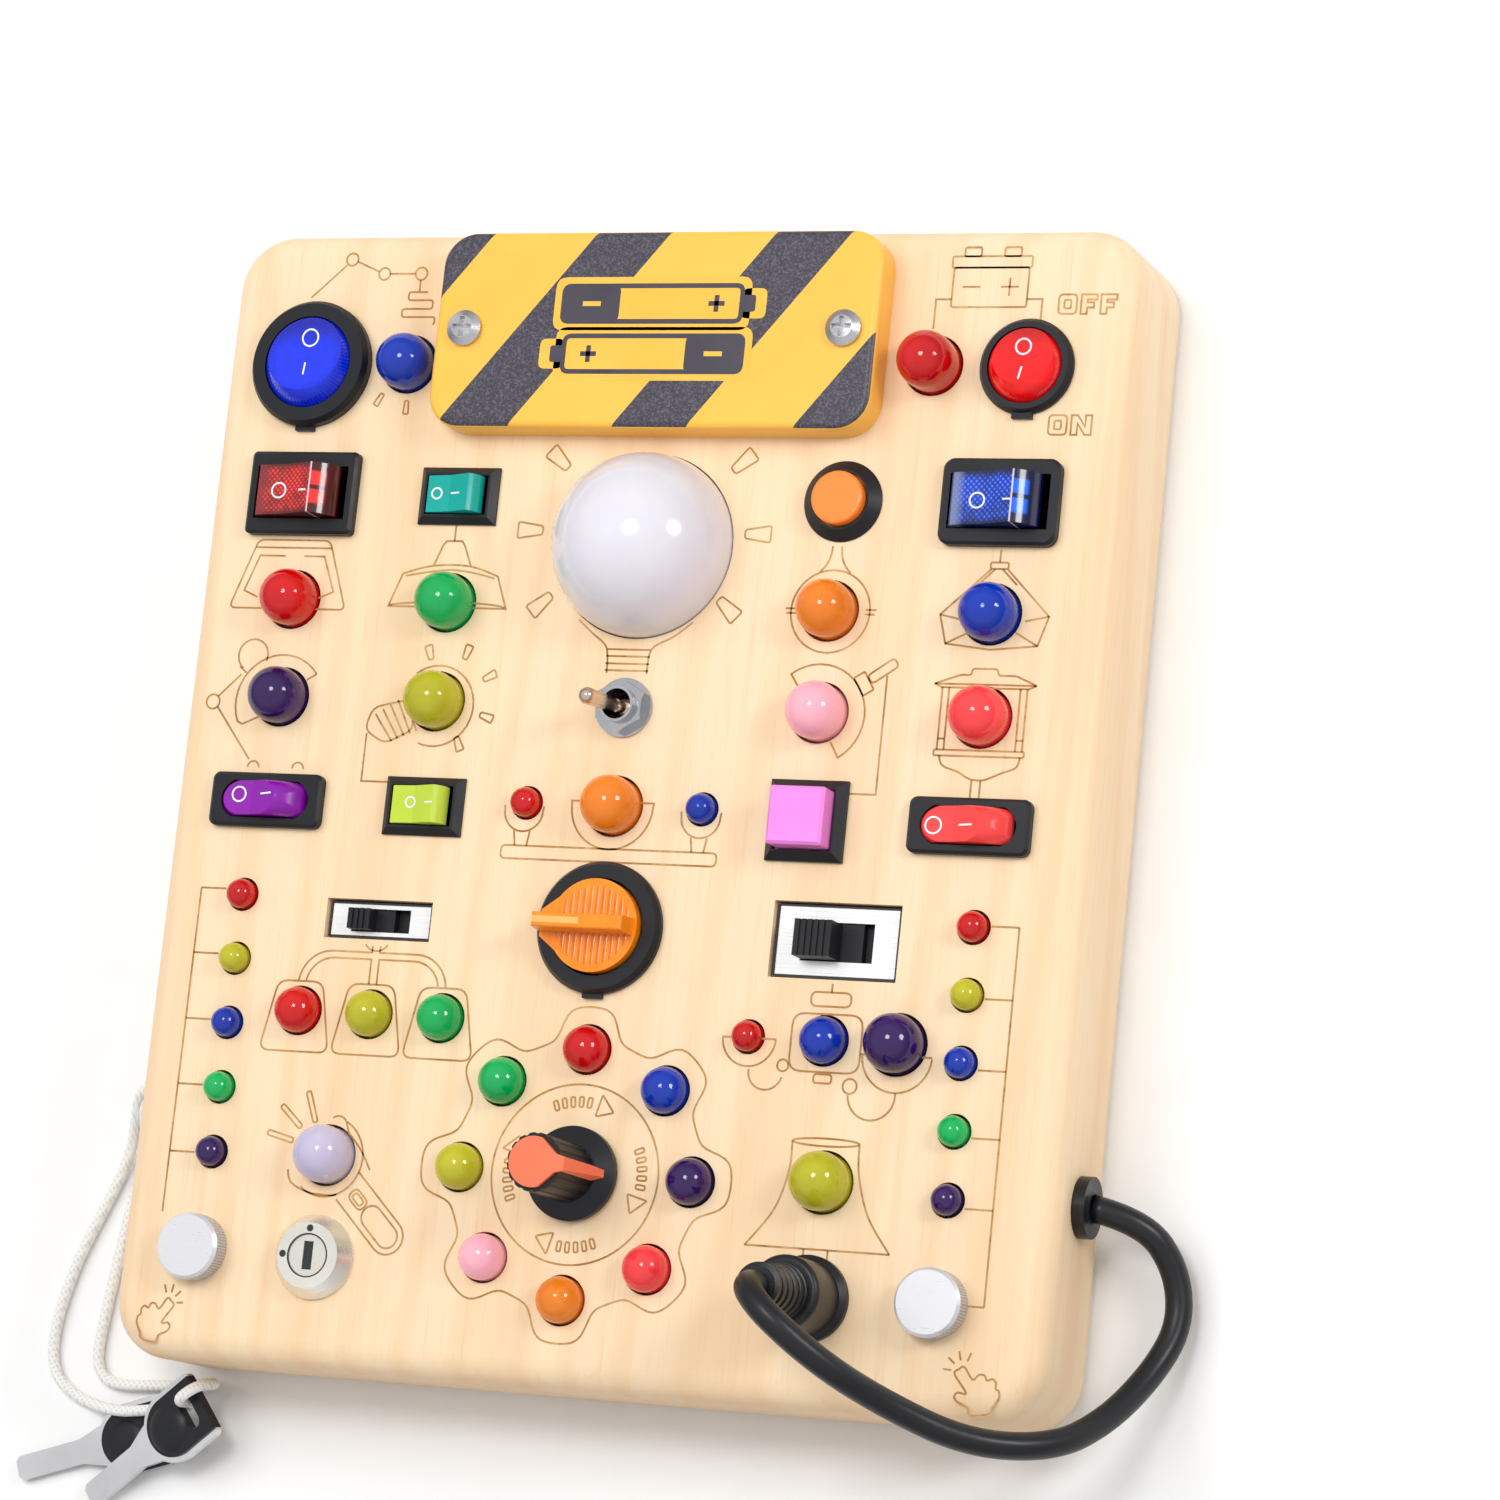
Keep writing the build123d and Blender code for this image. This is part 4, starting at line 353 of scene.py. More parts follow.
def braid_look():
    """White braided cord: two sets of strands that cross."""
    mat = shader("white_cord", Roughness=0.85, Sheen_Weight=0.2)
    band_scale, slant = 420.0, 0.4
    sets = [add(mat, "TexWave", {"Vector": stretched(mat, rotation=(0.3, way * slant, way * 0.75)),
                                 "Scale": band_scale, "Distortion": 0.3}, bands_direction="X")
            for way in (1, -1)]
    weave = calc(mat, "MAXIMUM", *((one, "Fac") for one in sets))
    wire_up(mat, mixed(mat, weave, "#D9D8D4", "#F7F6F3"), None, weave, 0.00012, 0.6)
    return mat


def burnt_look():
    """Laser-burnt line in the wood, darker where the beam stays longer."""
    mat = shader("burnt_lines", Roughness=0.75, Specular_IOR_Level=0.2)
    slow, fast = noise(mat, 120.0), noise(mat, 900.0, 2.0)
    color = mixed(mat, ranged(mat, slow, 0.36, 0.66, 0.0, 1.0), "#CFA46E", "#A87842")
    color = mixed(mat, ranged(mat, fast, 0.5, 0.75, 0.0, 0.5), color, "#7A5028")
    wire_up(mat, color, None, fast, 0.00003, 0.4)
    return mat


# ------------------------------------------------------------------ the record's finishes
M = {}


def finish(slot, make, *values, **sockets):
    """The look of one of the record's material slots."""
    M[slot] = make(slot, *values, **sockets)


finish("pine", wood, "#F4D9B4", "#ECC79B", "#D6A676")
finish("panel_board", wood, "#F2E6C6", "#EEDFBB", "#DCC79C", 0.6)
finish("black_plastic", plastic, "#18191F", "#0F1014", 0.42, 0.08, 1500.0, 0.00003, 0.5,
       Specular_IOR_Level=0.35)
finish("teal_plastic", plastic, "#06A79C", "#05978C", 0.3, Specular_IOR_Level=0.35)
finish("lime_plastic", plastic, "#C4DC48", "#B5CC3A", 0.3, Specular_IOR_Level=0.35, Subsurface_Weight=0.1,
       Subsurface_Scale=0.002)
for slot, color, darker in (("purple_clear", "#8F05AE", "#6E048A"), ("coral_clear", "#FA4444", "#E83636")):
    finish(slot, plastic, color, darker, 0.2, Specular_IOR_Level=0.4, Coat_Weight=0.25, Coat_Roughness=0.05)
for slot, color, darker in (("pink_plastic", "#F58CE6", "#EA7CDC"), ("orange_plastic", "#FF8A2A", "#F57A1A")):
    finish(slot, plastic, color, darker, 0.3, Coat_Weight=0.3, Coat_Roughness=0.15)
finish("coral_plastic", plastic, "#FF7A55", "#F46A48", 0.45)
finish("chrome", metal, "#D8D8DC", "#BCBCC2", 0.16, (300, 300, 1500))
finish("steel", metal, "#C9C9CC", "#A8A8AD", 0.26, (60, 2500, 2500))
finish("brass", metal, "#C8A85A", "#A88A42", 0.3, (900, 900, 200))
finish("circuit_board", plastic, "#1C6B3A", "#145229", 0.4)
finish("battery_jacket", plastic, "#2A2A30", "#1A1A1E", 0.35)
finish("wire", plastic, "#C22A20", "#A51D16", 0.45)
finish("black_rubber", plastic, "#15161A", "#0D0E11", 0.36, 0.07, 1800.0, 0.00003, 0.5,
       Specular_IOR_Level=0.4)
for slot, color, darker in (
        ("red_lamp", "#D2040A", "#AC0307"), ("yellow_lamp", "#C0BC22", "#A8A418"),
        ("blue_lamp", "#0034B2", "#00248E"), ("green_lamp", "#00B95E", "#009A4A"),
        ("purple_lamp", "#35105E", "#230746"), ("orange_lamp", "#F0861E", "#DE7010"),
        ("pink_lamp", "#FFB6C6", "#FAA6B8"), ("coral_lamp", "#FB4348", "#E93338"),
        ("clear_lamp", "#C9C2DC", "#BAB2D0")):
    finish(slot, plastic, color, darker, 0.07, 0.02, 500.0, 0.00001, 0.2, 0.8, Specular_IOR_Level=0.4,
           Coat_Weight=0.25, Coat_Roughness=0.03, Subsurface_Weight=0.08, Subsurface_Scale=0.002)
finish("milky_dome", plastic, "#E2DEE6", "#DAD6DE", 0.16, 0.03, 300.0, 0.00001, 0.15, 0.7, Coat_Weight=0.5,
       Coat_Roughness=0.06, Subsurface_Weight=0.25, Subsurface_Scale=0.004)
M["yellow_plate"], M["orange_clear"], M["white_cord"] = stripes_look(), selector_look(), braid_look()

# looks of single nodes, which come before those of their slots
own = {
    "rocker_red": clear_rocker("red_clear", -66.4, 52.8,
                               "#7E2428", "#B8060C", "#F02C2A", "#F4564E", "#4A0206"),
    "rocker_blue": clear_rocker("blue_clear", 65.0, 52.8,
                                "#7C86A8", "#052CB4", "#1668F2", "#4C8CFF", "#020C3C"),
    "round_rocker_blue": round_rocker_look("blue_round", -67.8, 76.6, "#0430F0", "#020E90"),
    "round_rocker_red": round_rocker_look("red_round", 67.2, 76.6, "#FA1014", "#9E0408"),
    "touch_studs": stud_look(),
    "lock_rotor": metal("rotor_nickel", "#E6E2D8", "#CBC7BE", 0.26, (300, 300, 1500), metallic=0.6),
    "lock_barrel": metal("satin_nickel", "#EFECE4", "#D4D1C9", 0.22, (300, 300, 1500), metallic=0.7),
    "key_blades": metal("key_steel", "#E2E2E4", "#C6C6CA", 0.2, (1500, 400, 400)),
    "slide_plates": metal("slide_steel", "#F2F2F2", "#DCDCDE", 0.3, (60, 2500, 2500), 0.000003, 0.3, 0.45),
    "toggle_nut": metal("nut_chrome", "#C6C6CB", "#8E8E95", 0.12, (500, 500, 900), 0.00003, 0.6),
    "toggle_bush": metal("bush_chrome", "#CCCCD1", "#94949B", 0.12, (200, 200, 5000), 0.00004, 0.7),
    "toggle_lever": metal("warm_steel", "#D8C6B6", "#BBA898", 0.18, (1200, 300, 300)),
}
for part in frame["record"]["subparts"]:
    surfaces = nodes[part["node"]].data.materials
    surfaces.clear()
    surfaces.append(own.get(part["node"]) or M[part["material_slot"]])


# ------------------------------------------------------------------ meshes and lines
def mesh_object(name, verts, faces, look, smooth=True):
    data = bpy.data.meshes.new(name)
    data.from_pydata([Vector(v) * MM for v in verts], [], faces)
    data.validate()
    data.materials.append(look)
    for face in data.polygons:
        face.use_smooth = smooth
    return placed(name, data)


def bands(count, sides):
    """Faces between count rings that have so many points each."""
    faces = []
    for i in range(count - 1):
        for k in range(sides):
            a, b = i * sides + k, i * sides + (k + 1) % sides
            faces.append((a, b, b + sides, a + sides))
    return faces


def rounded(points, name):
    """The cord's own line: a NURBS curve with these points as its control points."""
    data = bpy.data.curves.new(name, "CURVE")
    data.dimensions, data.resolution_u = "3D", 10
    spline = data.splines.new("NURBS")
    spline.points.add(len(points) - 1)
    for target, p in zip(spline.points, points):
        target.co = (*(Vector(p) * MM), 1.0)
    spline.order_u, spline.use_endpoint_u = 3, True
    return placed(name, data)


def tube_mesh(name, path, radius, look, sides=24):
    """A round tube along path, closed at both ends."""
    verts = []
    out = (path[1] - path[0]).normalized().orthogonal().normalized()
    for i, p in enumerate(path):
        axis = (path[min(i + 1, len(path) - 1)] - path[max(i - 1, 0)]).normalized()
        out = (out - axis * out.dot(axis)).normalized()
        side = axis.cross(out)
        for k in range(sides):
            turn = 2 * pi * k / sides
            verts.append(p + radius * (cos(turn) * out + sin(turn) * side))
    first_cap = tuple(reversed(range(sides)))
    last_cap = tuple(range((len(path) - 1) * sides, len(path) * sides))
    return mesh_object(name, verts, bands(len(path), sides) + [first_cap, last_cap], look)


# ------------------------------------------------------------------ cable
CABLE_R, SLEEVE_SIDES = 2.3, 36
cable_points = [
    (88.0, -63.7, 11.6), (96.4, -65.1, 9.0), (101.3, -72.3, 4.4), (102.5, -81.4, 3.7), (99.4, -90.0, 7.2),
    (95.0, -98.6, 15.5), (89.6, -104.2, 25.5), (78.0, -105.0, 34.5), (66.8, -100.4, 43.0),
    (58.8, -95.4, 52.8), (49.8, -88.2, 57.9), (44.2, -83.1, 54.0), (44.2, -83.1, 47.8)]

line = rounded(cable_points, "cable_line")
cable_path = [v.co.copy() / MM for v in bpy.data.meshes.new_from_object(line).vertices]
bpy.data.objects.remove(line)
cable = tube_mesh("cable", cable_path, CABLE_R, M["black_rubber"])
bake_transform(cable)
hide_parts("link_cable")

# the rubber lip round the cable where it leaves the side: rings of (x, radius)
sleeve_rings = [(86.4, 3.85), (87.4, 3.8), (88.1, 3.3), (88.5, 2.4), (87.0, 2.35)]
_, exit_y, exit_z = cable_points[0]
verts = [(x, exit_y + r * cos(2 * pi * k / SLEEVE_SIDES), exit_z + r * sin(2 * pi * k / SLEEVE_SIDES))
         for x, r in sleeve_rings for k in range(SLEEVE_SIDES)]
piece_of(mesh_object("cable_sleeve", verts, bands(len(sleeve_rings), SLEEVE_SIDES), M["black_rubber"]))


# ------------------------------------------------------------------ white cord with the two keys
def key_pad(name, origin, heading, pitch, along, radius, crown, head_half=2.05, sunk=0.1, rings=7, sides=40):
    """The raised round pad on a key's black head, which is head_half above the key's middle plane."""
    h, p = radians(heading), radians(pitch)
    x_way = Vector((cos(h) * cos(p), sin(h) * cos(p), -sin(p)))
    z_way = Vector((cos(h) * sin(p), sin(h) * sin(p), cos(p)))
    y_way = z_way.cross(x_way)
    middle = Vector(origin) + x_way * along + z_way * head_half
    verts, faces = [middle + z_way * crown], []
    for i in range(1, rings + 1):
        t = i / rings
        rise = crown * (1 - t ** 3) if i < rings else -sunk
        verts += [middle + radius * t * (cos(2 * pi * k / sides) * x_way + sin(2 * pi * k / sides) * y_way)
                  + z_way * rise for k in range(sides)]
    for k in range(sides):
        faces.append((0, 1 + k, 1 + (k + 1) % sides))
        for i in range(rings - 1):
            a, b = 1 + i * sides + k, 1 + i * sides + (k + 1) % sides
            faces.append((a, a + sides, b + sides, b))
    return piece_of(mesh_object(name, verts, faces, M["black_plastic"]))


CORD_R = 1.0
cord_points = [
    (-86.1, -52.1, 11.6), (-90.2, -52.6, 11.2), (-93.3, -54.6, 8.9), (-95.3, -58.4, 5.3),
    (-97.0, -63.3, 2.3), (-99.5, -69.3, 1.0), (-102.4, -75.9, 1.1), (-106.2, -84.8, 1.0),
    (-108.4, -93.8, 1.1), (-109.0, -100.6, 1.0), (-107.2, -105.6, 1.1), (-103.2, -108.3, 1.0),
    (-99.4, -109.6, 1.3), (-96.0, -110.2, 3.1), (-92.0, -110.6, 3.4), (-88.0, -110.1, 3.3),
    (-84.5, -109.6, 3.3), (-81.6, -109.3, 2.9), (-79.2, -108.8, 3.1), (-77.5, -108.1, 4.3),
    (-77.0, -107.95, 6.5), (-77.4, -108.25, 8.9), (-77.1, -108.0, 10.6), (-76.0, -107.2, 11.6),
    (-74.5, -106.0, 11.5), (-73.4, -105.1, 10.3), (-73.0, -104.8, 8.4), (-73.0, -104.6, 6.3),
    (-73.8, -104.3, 4.2), (-75.5, -104.3, 2.5), (-78.1, -104.6, 1.5), (-81.2, -105.0, 1.0),
    (-84.6, -105.3, 1.1), (-88.1, -105.5, 1.0), (-93.0, -105.9, 1.1), (-97.0, -105.4, 1.0),
    (-99.2, -103.0, 1.1), (-99.6, -99.2, 1.0), (-98.8, -92.5, 1.1), (-97.9, -84.8, 1.0),
    (-96.8, -76.6, 1.1), (-95.4, -68.9, 1.2), (-94.1, -63.2, 2.8), (-92.9, -59.4, 6.0),
    (-91.8, -56.8, 9.3), (-89.4, -55.0, 11.1), (-86.1, -54.5, 11.6)]

key_pads = [key_pad("front_key_pad", (-73.2, -107.6, 7.3), 217.5, 13.0, 8.9, 4.3, 1.0),
            key_pad("rear_key_pad", (-83.2, -112.6, 0.0), 198.4, 0.0, 8.6, 3.6, 0.6)]
cord = rounded(cord_points, "cord")
cord.data.bevel_depth, cord.data.bevel_resolution = CORD_R * MM, 4
cord.data.use_fill_caps = True
cord.data.materials.append(M["white_cord"])
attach(cord, "board")
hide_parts("key_cord")


# ------------------------------------------------------------------ flat lines and shapes
def polar(cx, cy, r, angle, ry=None):
    """The point of a circle, or of an ellipse with a height ry, at an angle in degrees."""
    return cx + r * cos(radians(angle)), cy + (ry or r) * sin(radians(angle))


def arc(cx, cy, r, start, end, steps=None, ry=None):
    """Points of an arc from the start to the end angle."""
    steps = steps or max(4, int(abs(end - start) / 9))
    return [polar(cx, cy, r, start + (end - start) * i / steps, ry) for i in range(steps + 1)]


def ring(cx, cy, r, ry=None, steps=36):
    return arc(cx, cy, r, 0, 360, steps, ry)[:-1]


def softened(points, r):
    """A closed outline with its corners rounded."""
    out = []
    for i, p in enumerate(points):
        a, b, c = Vector(points[i - 1]), Vector(p), Vector(points[(i + 1) % len(points)])
        cut = min(r, (a - b).length * 0.45, (c - b).length * 0.45)
        p1, p2 = b + (a - b).normalized() * cut, b + (c - b).normalized() * cut
        for t in (0.0, 0.25, 0.5, 0.75, 1.0):
            out.append(tuple((1 - t) ** 2 * p1 + 2 * t * (1 - t) * b + t * t * p2))
    return out


def turned(cx, cy, angle, points):
    """Points turned by some degrees and moved to the middle cx, cy."""
    c, s = cos(radians(angle)), sin(radians(angle))
    return [(cx + x * c - y * s, cy + x * s + y * c) for x, y in points]


def corners_of(x, y):
    return (-x, -y), (x, -y), (x, y), (-x, y)


def box_line(cx, cy, w, h, r=0.6, angle=0.0):
    """A rounded rectangle, turned by some degrees."""
    return softened(turned(cx, cy, angle, corners_of(w / 2, h / 2)), r)


def smooth_line(points, steps=6):
    """A soft curve through the points (Catmull-Rom)."""
    ends = [Vector(points[0])] + [Vector(p) for p in points] + [Vector(points[-1])]
    out = []
    for i in range(1, len(ends) - 2):
        a, b, c, d = ends[i - 1:i + 3]
        for k in range(steps):
            t = k / steps
            out.append(tuple(0.5 * (2 * b + (c - a) * t + (2 * a - 5 * b + 4 * c - d) * t * t
                                    + (3 * b - a - 3 * c + d) * t ** 3)))
    return out + [tuple(ends[-1])]


def ribbons(name, lines, width, look, lift, body="board"):
    """Flat lines as one piece. Each of lines is (points, closed); lift gives a point's place in 3-D."""
    shortest, straight_back, sharpest = 1e-6, 0.1, 0.5
    verts, faces = [], []
    for points, closed in lines:
        pts = [Vector(p) for p in points]
        count, first = len(pts), len(verts)
        for i, p in enumerate(pts):
            before = pts[i - 1] if closed or i else p
            after = pts[(i + 1) % count] if closed or i < count - 1 else p
            a, b = p - before, after - p
            a = (a if a.length > shortest else b).normalized()
            b = (b if b.length > shortest else a).normalized()
            mid = (a + b).normalized() if (a + b).length > straight_back else a
            normal = Vector((-mid.y, mid.x))
            reach = width / 2 / max(sharpest, normal.dot(Vector((-a.y, a.x))))
            verts += [lift(*(p + normal * reach)), lift(*(p - normal * reach))]
        for i in range(count if closed else count - 1):
            j = (i + 1) % count
            faces.append((first + 2 * i, first + 2 * i + 1, first + 2 * j + 1, first + 2 * j))
    return piece_of(mesh_object(name, verts, faces, look, smooth=False), body)


def filled(name, shapes, look, height, facing=1, body="board"):
    """Flat coloured shapes as one piece, which face up, or down for a facing of -1."""
    verts, faces = [], []
    for points in shapes:
        first = len(verts)
        middle = (sum(p[0] for p in points) / len(points), sum(p[1] for p in points) / len(points))
        verts += [(x, y, height) for x, y in (middle, *points)]
        for i in range(len(points)):
            faces.append((first, first + 1 + i, first + 1 + (i + 1) % len(points))[::facing])
    return piece_of(mesh_object(name, verts, faces, look, smooth=False), body)


def flat_at(height):
    return lambda x, y: Vector((x, y, height))


def laid_on(node):
    """Takes a point of the face as the camera sees it, and puts it on the node in front of or behind it."""
    data = nodes[node].data
    tree = BVHTree.FromPolygons([v.co for v in data.vertices], [tuple(p.vertices) for p in data.polygons])

    def lift(x, y):
        way = (Vector((x, y, FACE)) - EYE).normalized()
        hit, normal, _, _ = tree.ray_cast(EYE * MM, way)
        if hit is None:
            hit, normal, _, _ = tree.find_nearest(Vector((x, y, FACE)) * MM)
        if normal.z < 0:
            normal = -normal
        return hit / MM + normal * SKIN
    return lift


# ------------------------------------------------------------------ marks on the switches
# node, slot, middle and radius of its circle, and the two ends of its bar
MARK_W, BAR_STEPS = 0.32, 6
white_mark = printed("white_marks", "#F2F4F8", "#E2E5EC", 0.4)
for node, slot, circle_at, circle_r, (x0, y0), (x1, y1) in (
        ("rocker_red", "red_clear", (-71.9, 53.6), 1.35, (-68.0, 53.75), (-66.6, 53.85)),
        ("rocker_blue", "blue_clear", (60.4, 53.4), 1.3, (64.9, 53.7), (66.3, 53.75)),
        ("rocker_teal", "teal_plastic", (-40.6, 53.4), 0.95, (-37.9, 53.45), (-36.3, 53.6)),
        ("rocker_lime", "lime_plastic", (-38.9, -2.0), 0.9, (-36.2, -1.9), (-34.8, -1.8)),
        ("rocker_purple", "purple_clear", (-72.5, -1.7), 1.3, (-68.3, -1.5), (-66.3, -1.2)),
        ("rocker_coral", "coral_clear", (58.2, -2.6), 1.4, (62.7, -2.4), (65.0, -2.2)),
        ("round_rocker_blue", "blue_clear", (-69.2, 81.8), 1.55, (-69.7, 77.2), (-69.9, 75.0)),
        ("round_rocker_red", "red_clear", (66.1, 80.3), 1.35, (66.1, 76.8), (65.6, 74.6))):
    bar = [(x0 + (x1 - x0) * i / BAR_STEPS, y0 + (y1 - y0) * i / BAR_STEPS) for i in range(BAR_STEPS + 1)]
    ribbons("marks_" + node, [(ring(*circle_at, circle_r, steps=40), True), (bar, False)], MARK_W, white_mark,
            laid_on(node), node + "_body")

# ------------------------------------------------------------------ burnt icons
BURNT_W = 0.34
icons = []               # each is (points, closed)


def draw(*points):
    icons.append((list(points), False))


def outline(points):
    icons.append((list(points), True))


def curve(*points):
    draw(*smooth_line(points))


def draw_all(*lines):
    for points in lines:
        draw(*points)


def ray(cx, cy, angle, length=4.8, inner=1.5, outer=3.0, soft=0.5):
    """A tapered ray pointing away from what shines."""
    outline(softened(turned(cx, cy, angle, ((-length / 2, -inner / 2), (length / 2, -outer / 2),
                                            (length / 2, outer / 2), (-length / 2, inner / 2))), soft))


# jointed lamp over the first blue lamp
draw((-70.0, 89.2), (-63.5, 95.3))
for joint in ((-62.6, 96.3, 1.15), (-55.9, 93.6, 1.1), (-48.6, 93.6, 1.15)):
    outline(ring(*joint))
draw((-61.5, 95.9), (-57.0, 94.0))
draw((-54.8, 93.6), (-49.8, 93.6))
draw((-48.6, 92.4), (-48.6, 90.3))
draw(*softened([(-46.4, 90.2), (-50.6, 90.2), (-50.6, 88.7), (-45.7, 88.7), (-45.7, 87.1), (-51.6, 87.1),
                (-51.6, 85.6), (-45.0, 85.6), (-45.0, 84.2), (-52.0, 84.2)], 0.55)[4:-6])
ray(-54.1, 70.4, 240, 2.4, 0.7, 1.0, 0.25)
ray(-48.6, 69.0, 270, 2.4, 0.7, 1.0, 0.25)
# ceiling lamp round the first red lamp
outline(softened([(-74.6, 44.5), (-60.4, 44.5), (-56.0, 32.0), (-79.0, 32.0)], 1.2))
draw((-75.0, 43.1), (-60.0, 43.1))
draw((-68.9, 41.6), (-74.0, 41.6), (-76.4, 35.2), (-73.6, 34.0))
draw((-65.2, 41.6), (-61.2, 41.6), (-58.7, 35.2), (-61.5, 34.0))
# pendant round the green lamp
draw((-36.1, 47.6), (-36.1, 44.8))
draw((-39.6, 40.4), (-38.2, 44.0), (-37.6, 44.8), (-34.6, 44.8), (-34.0, 44.0), (-32.4, 40.3))
curve((-45.4, 38.8), (-40.8, 40.1), (-36.0, 40.5), (-31.6, 40.1), (-27.0, 38.6))
curve((-44.8, 38.4), (-40.8, 39.1), (-36.0, 39.6), (-31.6, 39.1), (-27.6, 38.2))
draw((-45.4, 38.8), (-47.6, 32.9), (-24.8, 32.8), (-27.0, 38.6))
curve((-47.4, 33.1), (-44.0, 33.5), (-36.0, 33.9), (-28.0, 33.5), (-25.0, 33.0))
# reading lamp round the purple lamp
draw(*arc(-73.0, 23.4, 2.9, 235, -20))
draw((-74.9, 19.9), (-79.0, 15.8))
outline(ring(-79.9, 14.8, 1.3))
draw((-78.9, 13.9), (-71.4, 4.6))
draw((-75.4, 21.3), (-73.9, 20.2))
draw(*arc(-66.8, 15.0, 8.6, 38, 205), (-73.6, 10.9), (-69.4, 12.8))
draw((-60.0, 20.3), (-61.8, 19.2))
draw_all(arc(-70.4, 3.2, 1.1, 180, 0), arc(-61.6, 3.2, 1.1, 180, 0))
# bulb and its wire round the yellow lamp
draw(*arc(-36.1, 15.2, 7.2, -112, 128))
for i in range(5):
    k = i * 1.35
    draw((-42.2 - k, 17.0 - 0.8 * k + 0.2 * i), (-39.3 - k * 0.86, 10.6 - 0.35 * k))
outline(softened([(-41.5, 16.2), (-48.2, 14.6), (-49.4, 10.6), (-45.2, 8.2), (-39.8, 11.0)], 1.6))
draw((-48.9, 10.0), (-48.9, 1.4), (-42.8, 1.4))
for cx, cy, angle in ((-38.4, 24.7, 108), (-31.2, 24.9, 72), (-26.4, 20.7, 28), (-26.2, 13.5, -18),
                      (-31.0, 8.6, -66)):
    ray(cx, cy, angle, 2.6, 0.9, 1.5, 0.3)
# great bulb round the dome
curve((-10.6, 31.2), (-7.8, 28.9), (-5.2, 26.9), (-4.5, 25.0), (-4.3, 21.9))
curve((10.9, 31.2), (7.6, 28.6), (4.2, 26.8), (3.3, 25.0), (3.2, 21.9))
for y in (26.1, 24.9, 23.6, 22.4):
    draw((-4.7, y), (3.5, y))
for cx, cy, angle in ((-17.6, 59.8, 139), (-21.7, 47.0, 180), (-18.2, 33.9, 222), (17.2, 59.6, 41),
                      (21.2, 46.9, 0), (17.0, 33.7, -42)):
    ray(cx, cy, angle)
# battery and its two wires by the red lamp
outline(softened([(52.3, 87.2), (65.9, 87.2), (65.9, 94.2), (52.3, 94.2)], 0.5))
outline(softened([(51.9, 94.2), (66.3, 94.2), (66.3, 96.2), (51.9, 96.2)], 0.4))
outline(softened([(54.0, 96.2), (57.0, 96.2), (57.0, 97.8), (54.0, 97.8)], 0.4))
outline(softened([(61.2, 96.2), (64.2, 96.2), (64.2, 97.8), (61.2, 97.8)], 0.4))
draw((54.1, 90.8), (57.3, 90.8))
draw((61.0, 90.8), (64.2, 90.8))
draw((62.6, 89.2), (62.6, 92.4))
draw((52.3, 88.6), (49.5, 88.6), (49.5, 83.4))
draw((65.9, 88.6), (68.7, 88.6), (68.7, 84.8))
# OFF and ON
for cx, cy in ((73.3, 87.7), (73.5, 66.6)):
    outline(box_line(cx, cy, 3.2, 3.4, 0.7))
    outline(box_line(cx, cy, 1.2, 1.5, 0.3))
for x in (75.7, 79.2):
    outline([(x, 86.0), (x, 89.4), (x + 2.8, 89.4), (x + 2.8, 88.5), (x + 1.1, 88.5), (x + 1.1, 88.0),
             (x + 2.3, 88.0), (x + 2.3, 87.1), (x + 1.1, 87.1), (x + 1.1, 86.0)])
outline([(75.9, 64.9), (75.9, 68.3), (77.0, 68.3), (78.4, 66.3), (78.4, 68.3), (79.5, 68.3), (79.5, 64.9),
         (78.4, 64.9), (77.0, 66.9), (77.0, 64.9)])
# round wall lamp under the round push button
outline(ring(35.9, 33.6, 7.2, steps=60))
curve((35.2, 45.0), (35.0, 43.2), (34.3, 41.6), (33.3, 40.5))
curve((36.9, 45.0), (37.1, 43.2), (37.8, 41.6), (38.9, 40.3))
draw_all([(27.7, 34.0), (29.6, 34.0)], [(27.9, 33.2), (29.6, 33.2)], [(42.3, 34.0), (44.3, 34.0)],
         [(42.3, 33.2), (44.0, 33.2)])
# faceted pendant round the blue lamp
draw((65.6, 44.9), (65.6, 42.7))
outline(box_line(65.6, 42.1, 3.2, 1.1, 0.4))
draw((64.2, 41.5), (55.8, 33.5), (57.2, 28.5), (65.3, 27.6), (73.6, 28.4), (75.2, 33.5), (67.1, 41.5))
draw((64.9, 41.5), (62.2, 38.9))
draw((66.2, 41.5), (69.0, 38.8))
draw((55.8, 33.5), (60.1, 32.6))
draw((75.2, 33.5), (71.0, 32.6))
draw((57.2, 28.5), (61.4, 30.6))
draw((73.6, 28.4), (69.6, 30.6))
# spot lamp round the pink lamp, with its wire
draw(*arc(35.3, 15.7, 8.7, 128, -58), (38.3, 11.0))
draw((29.9, 22.6), (31.3, 20.6))
outline(box_line(43.3, 21.2, 2.2, 3.6, 0.3, 32))
outline(box_line(46.6, 23.5, 5.6, 1.7, 0.8, 35))
draw((47.4, 22.7), (47.4, 2.2), (42.4, 2.2))
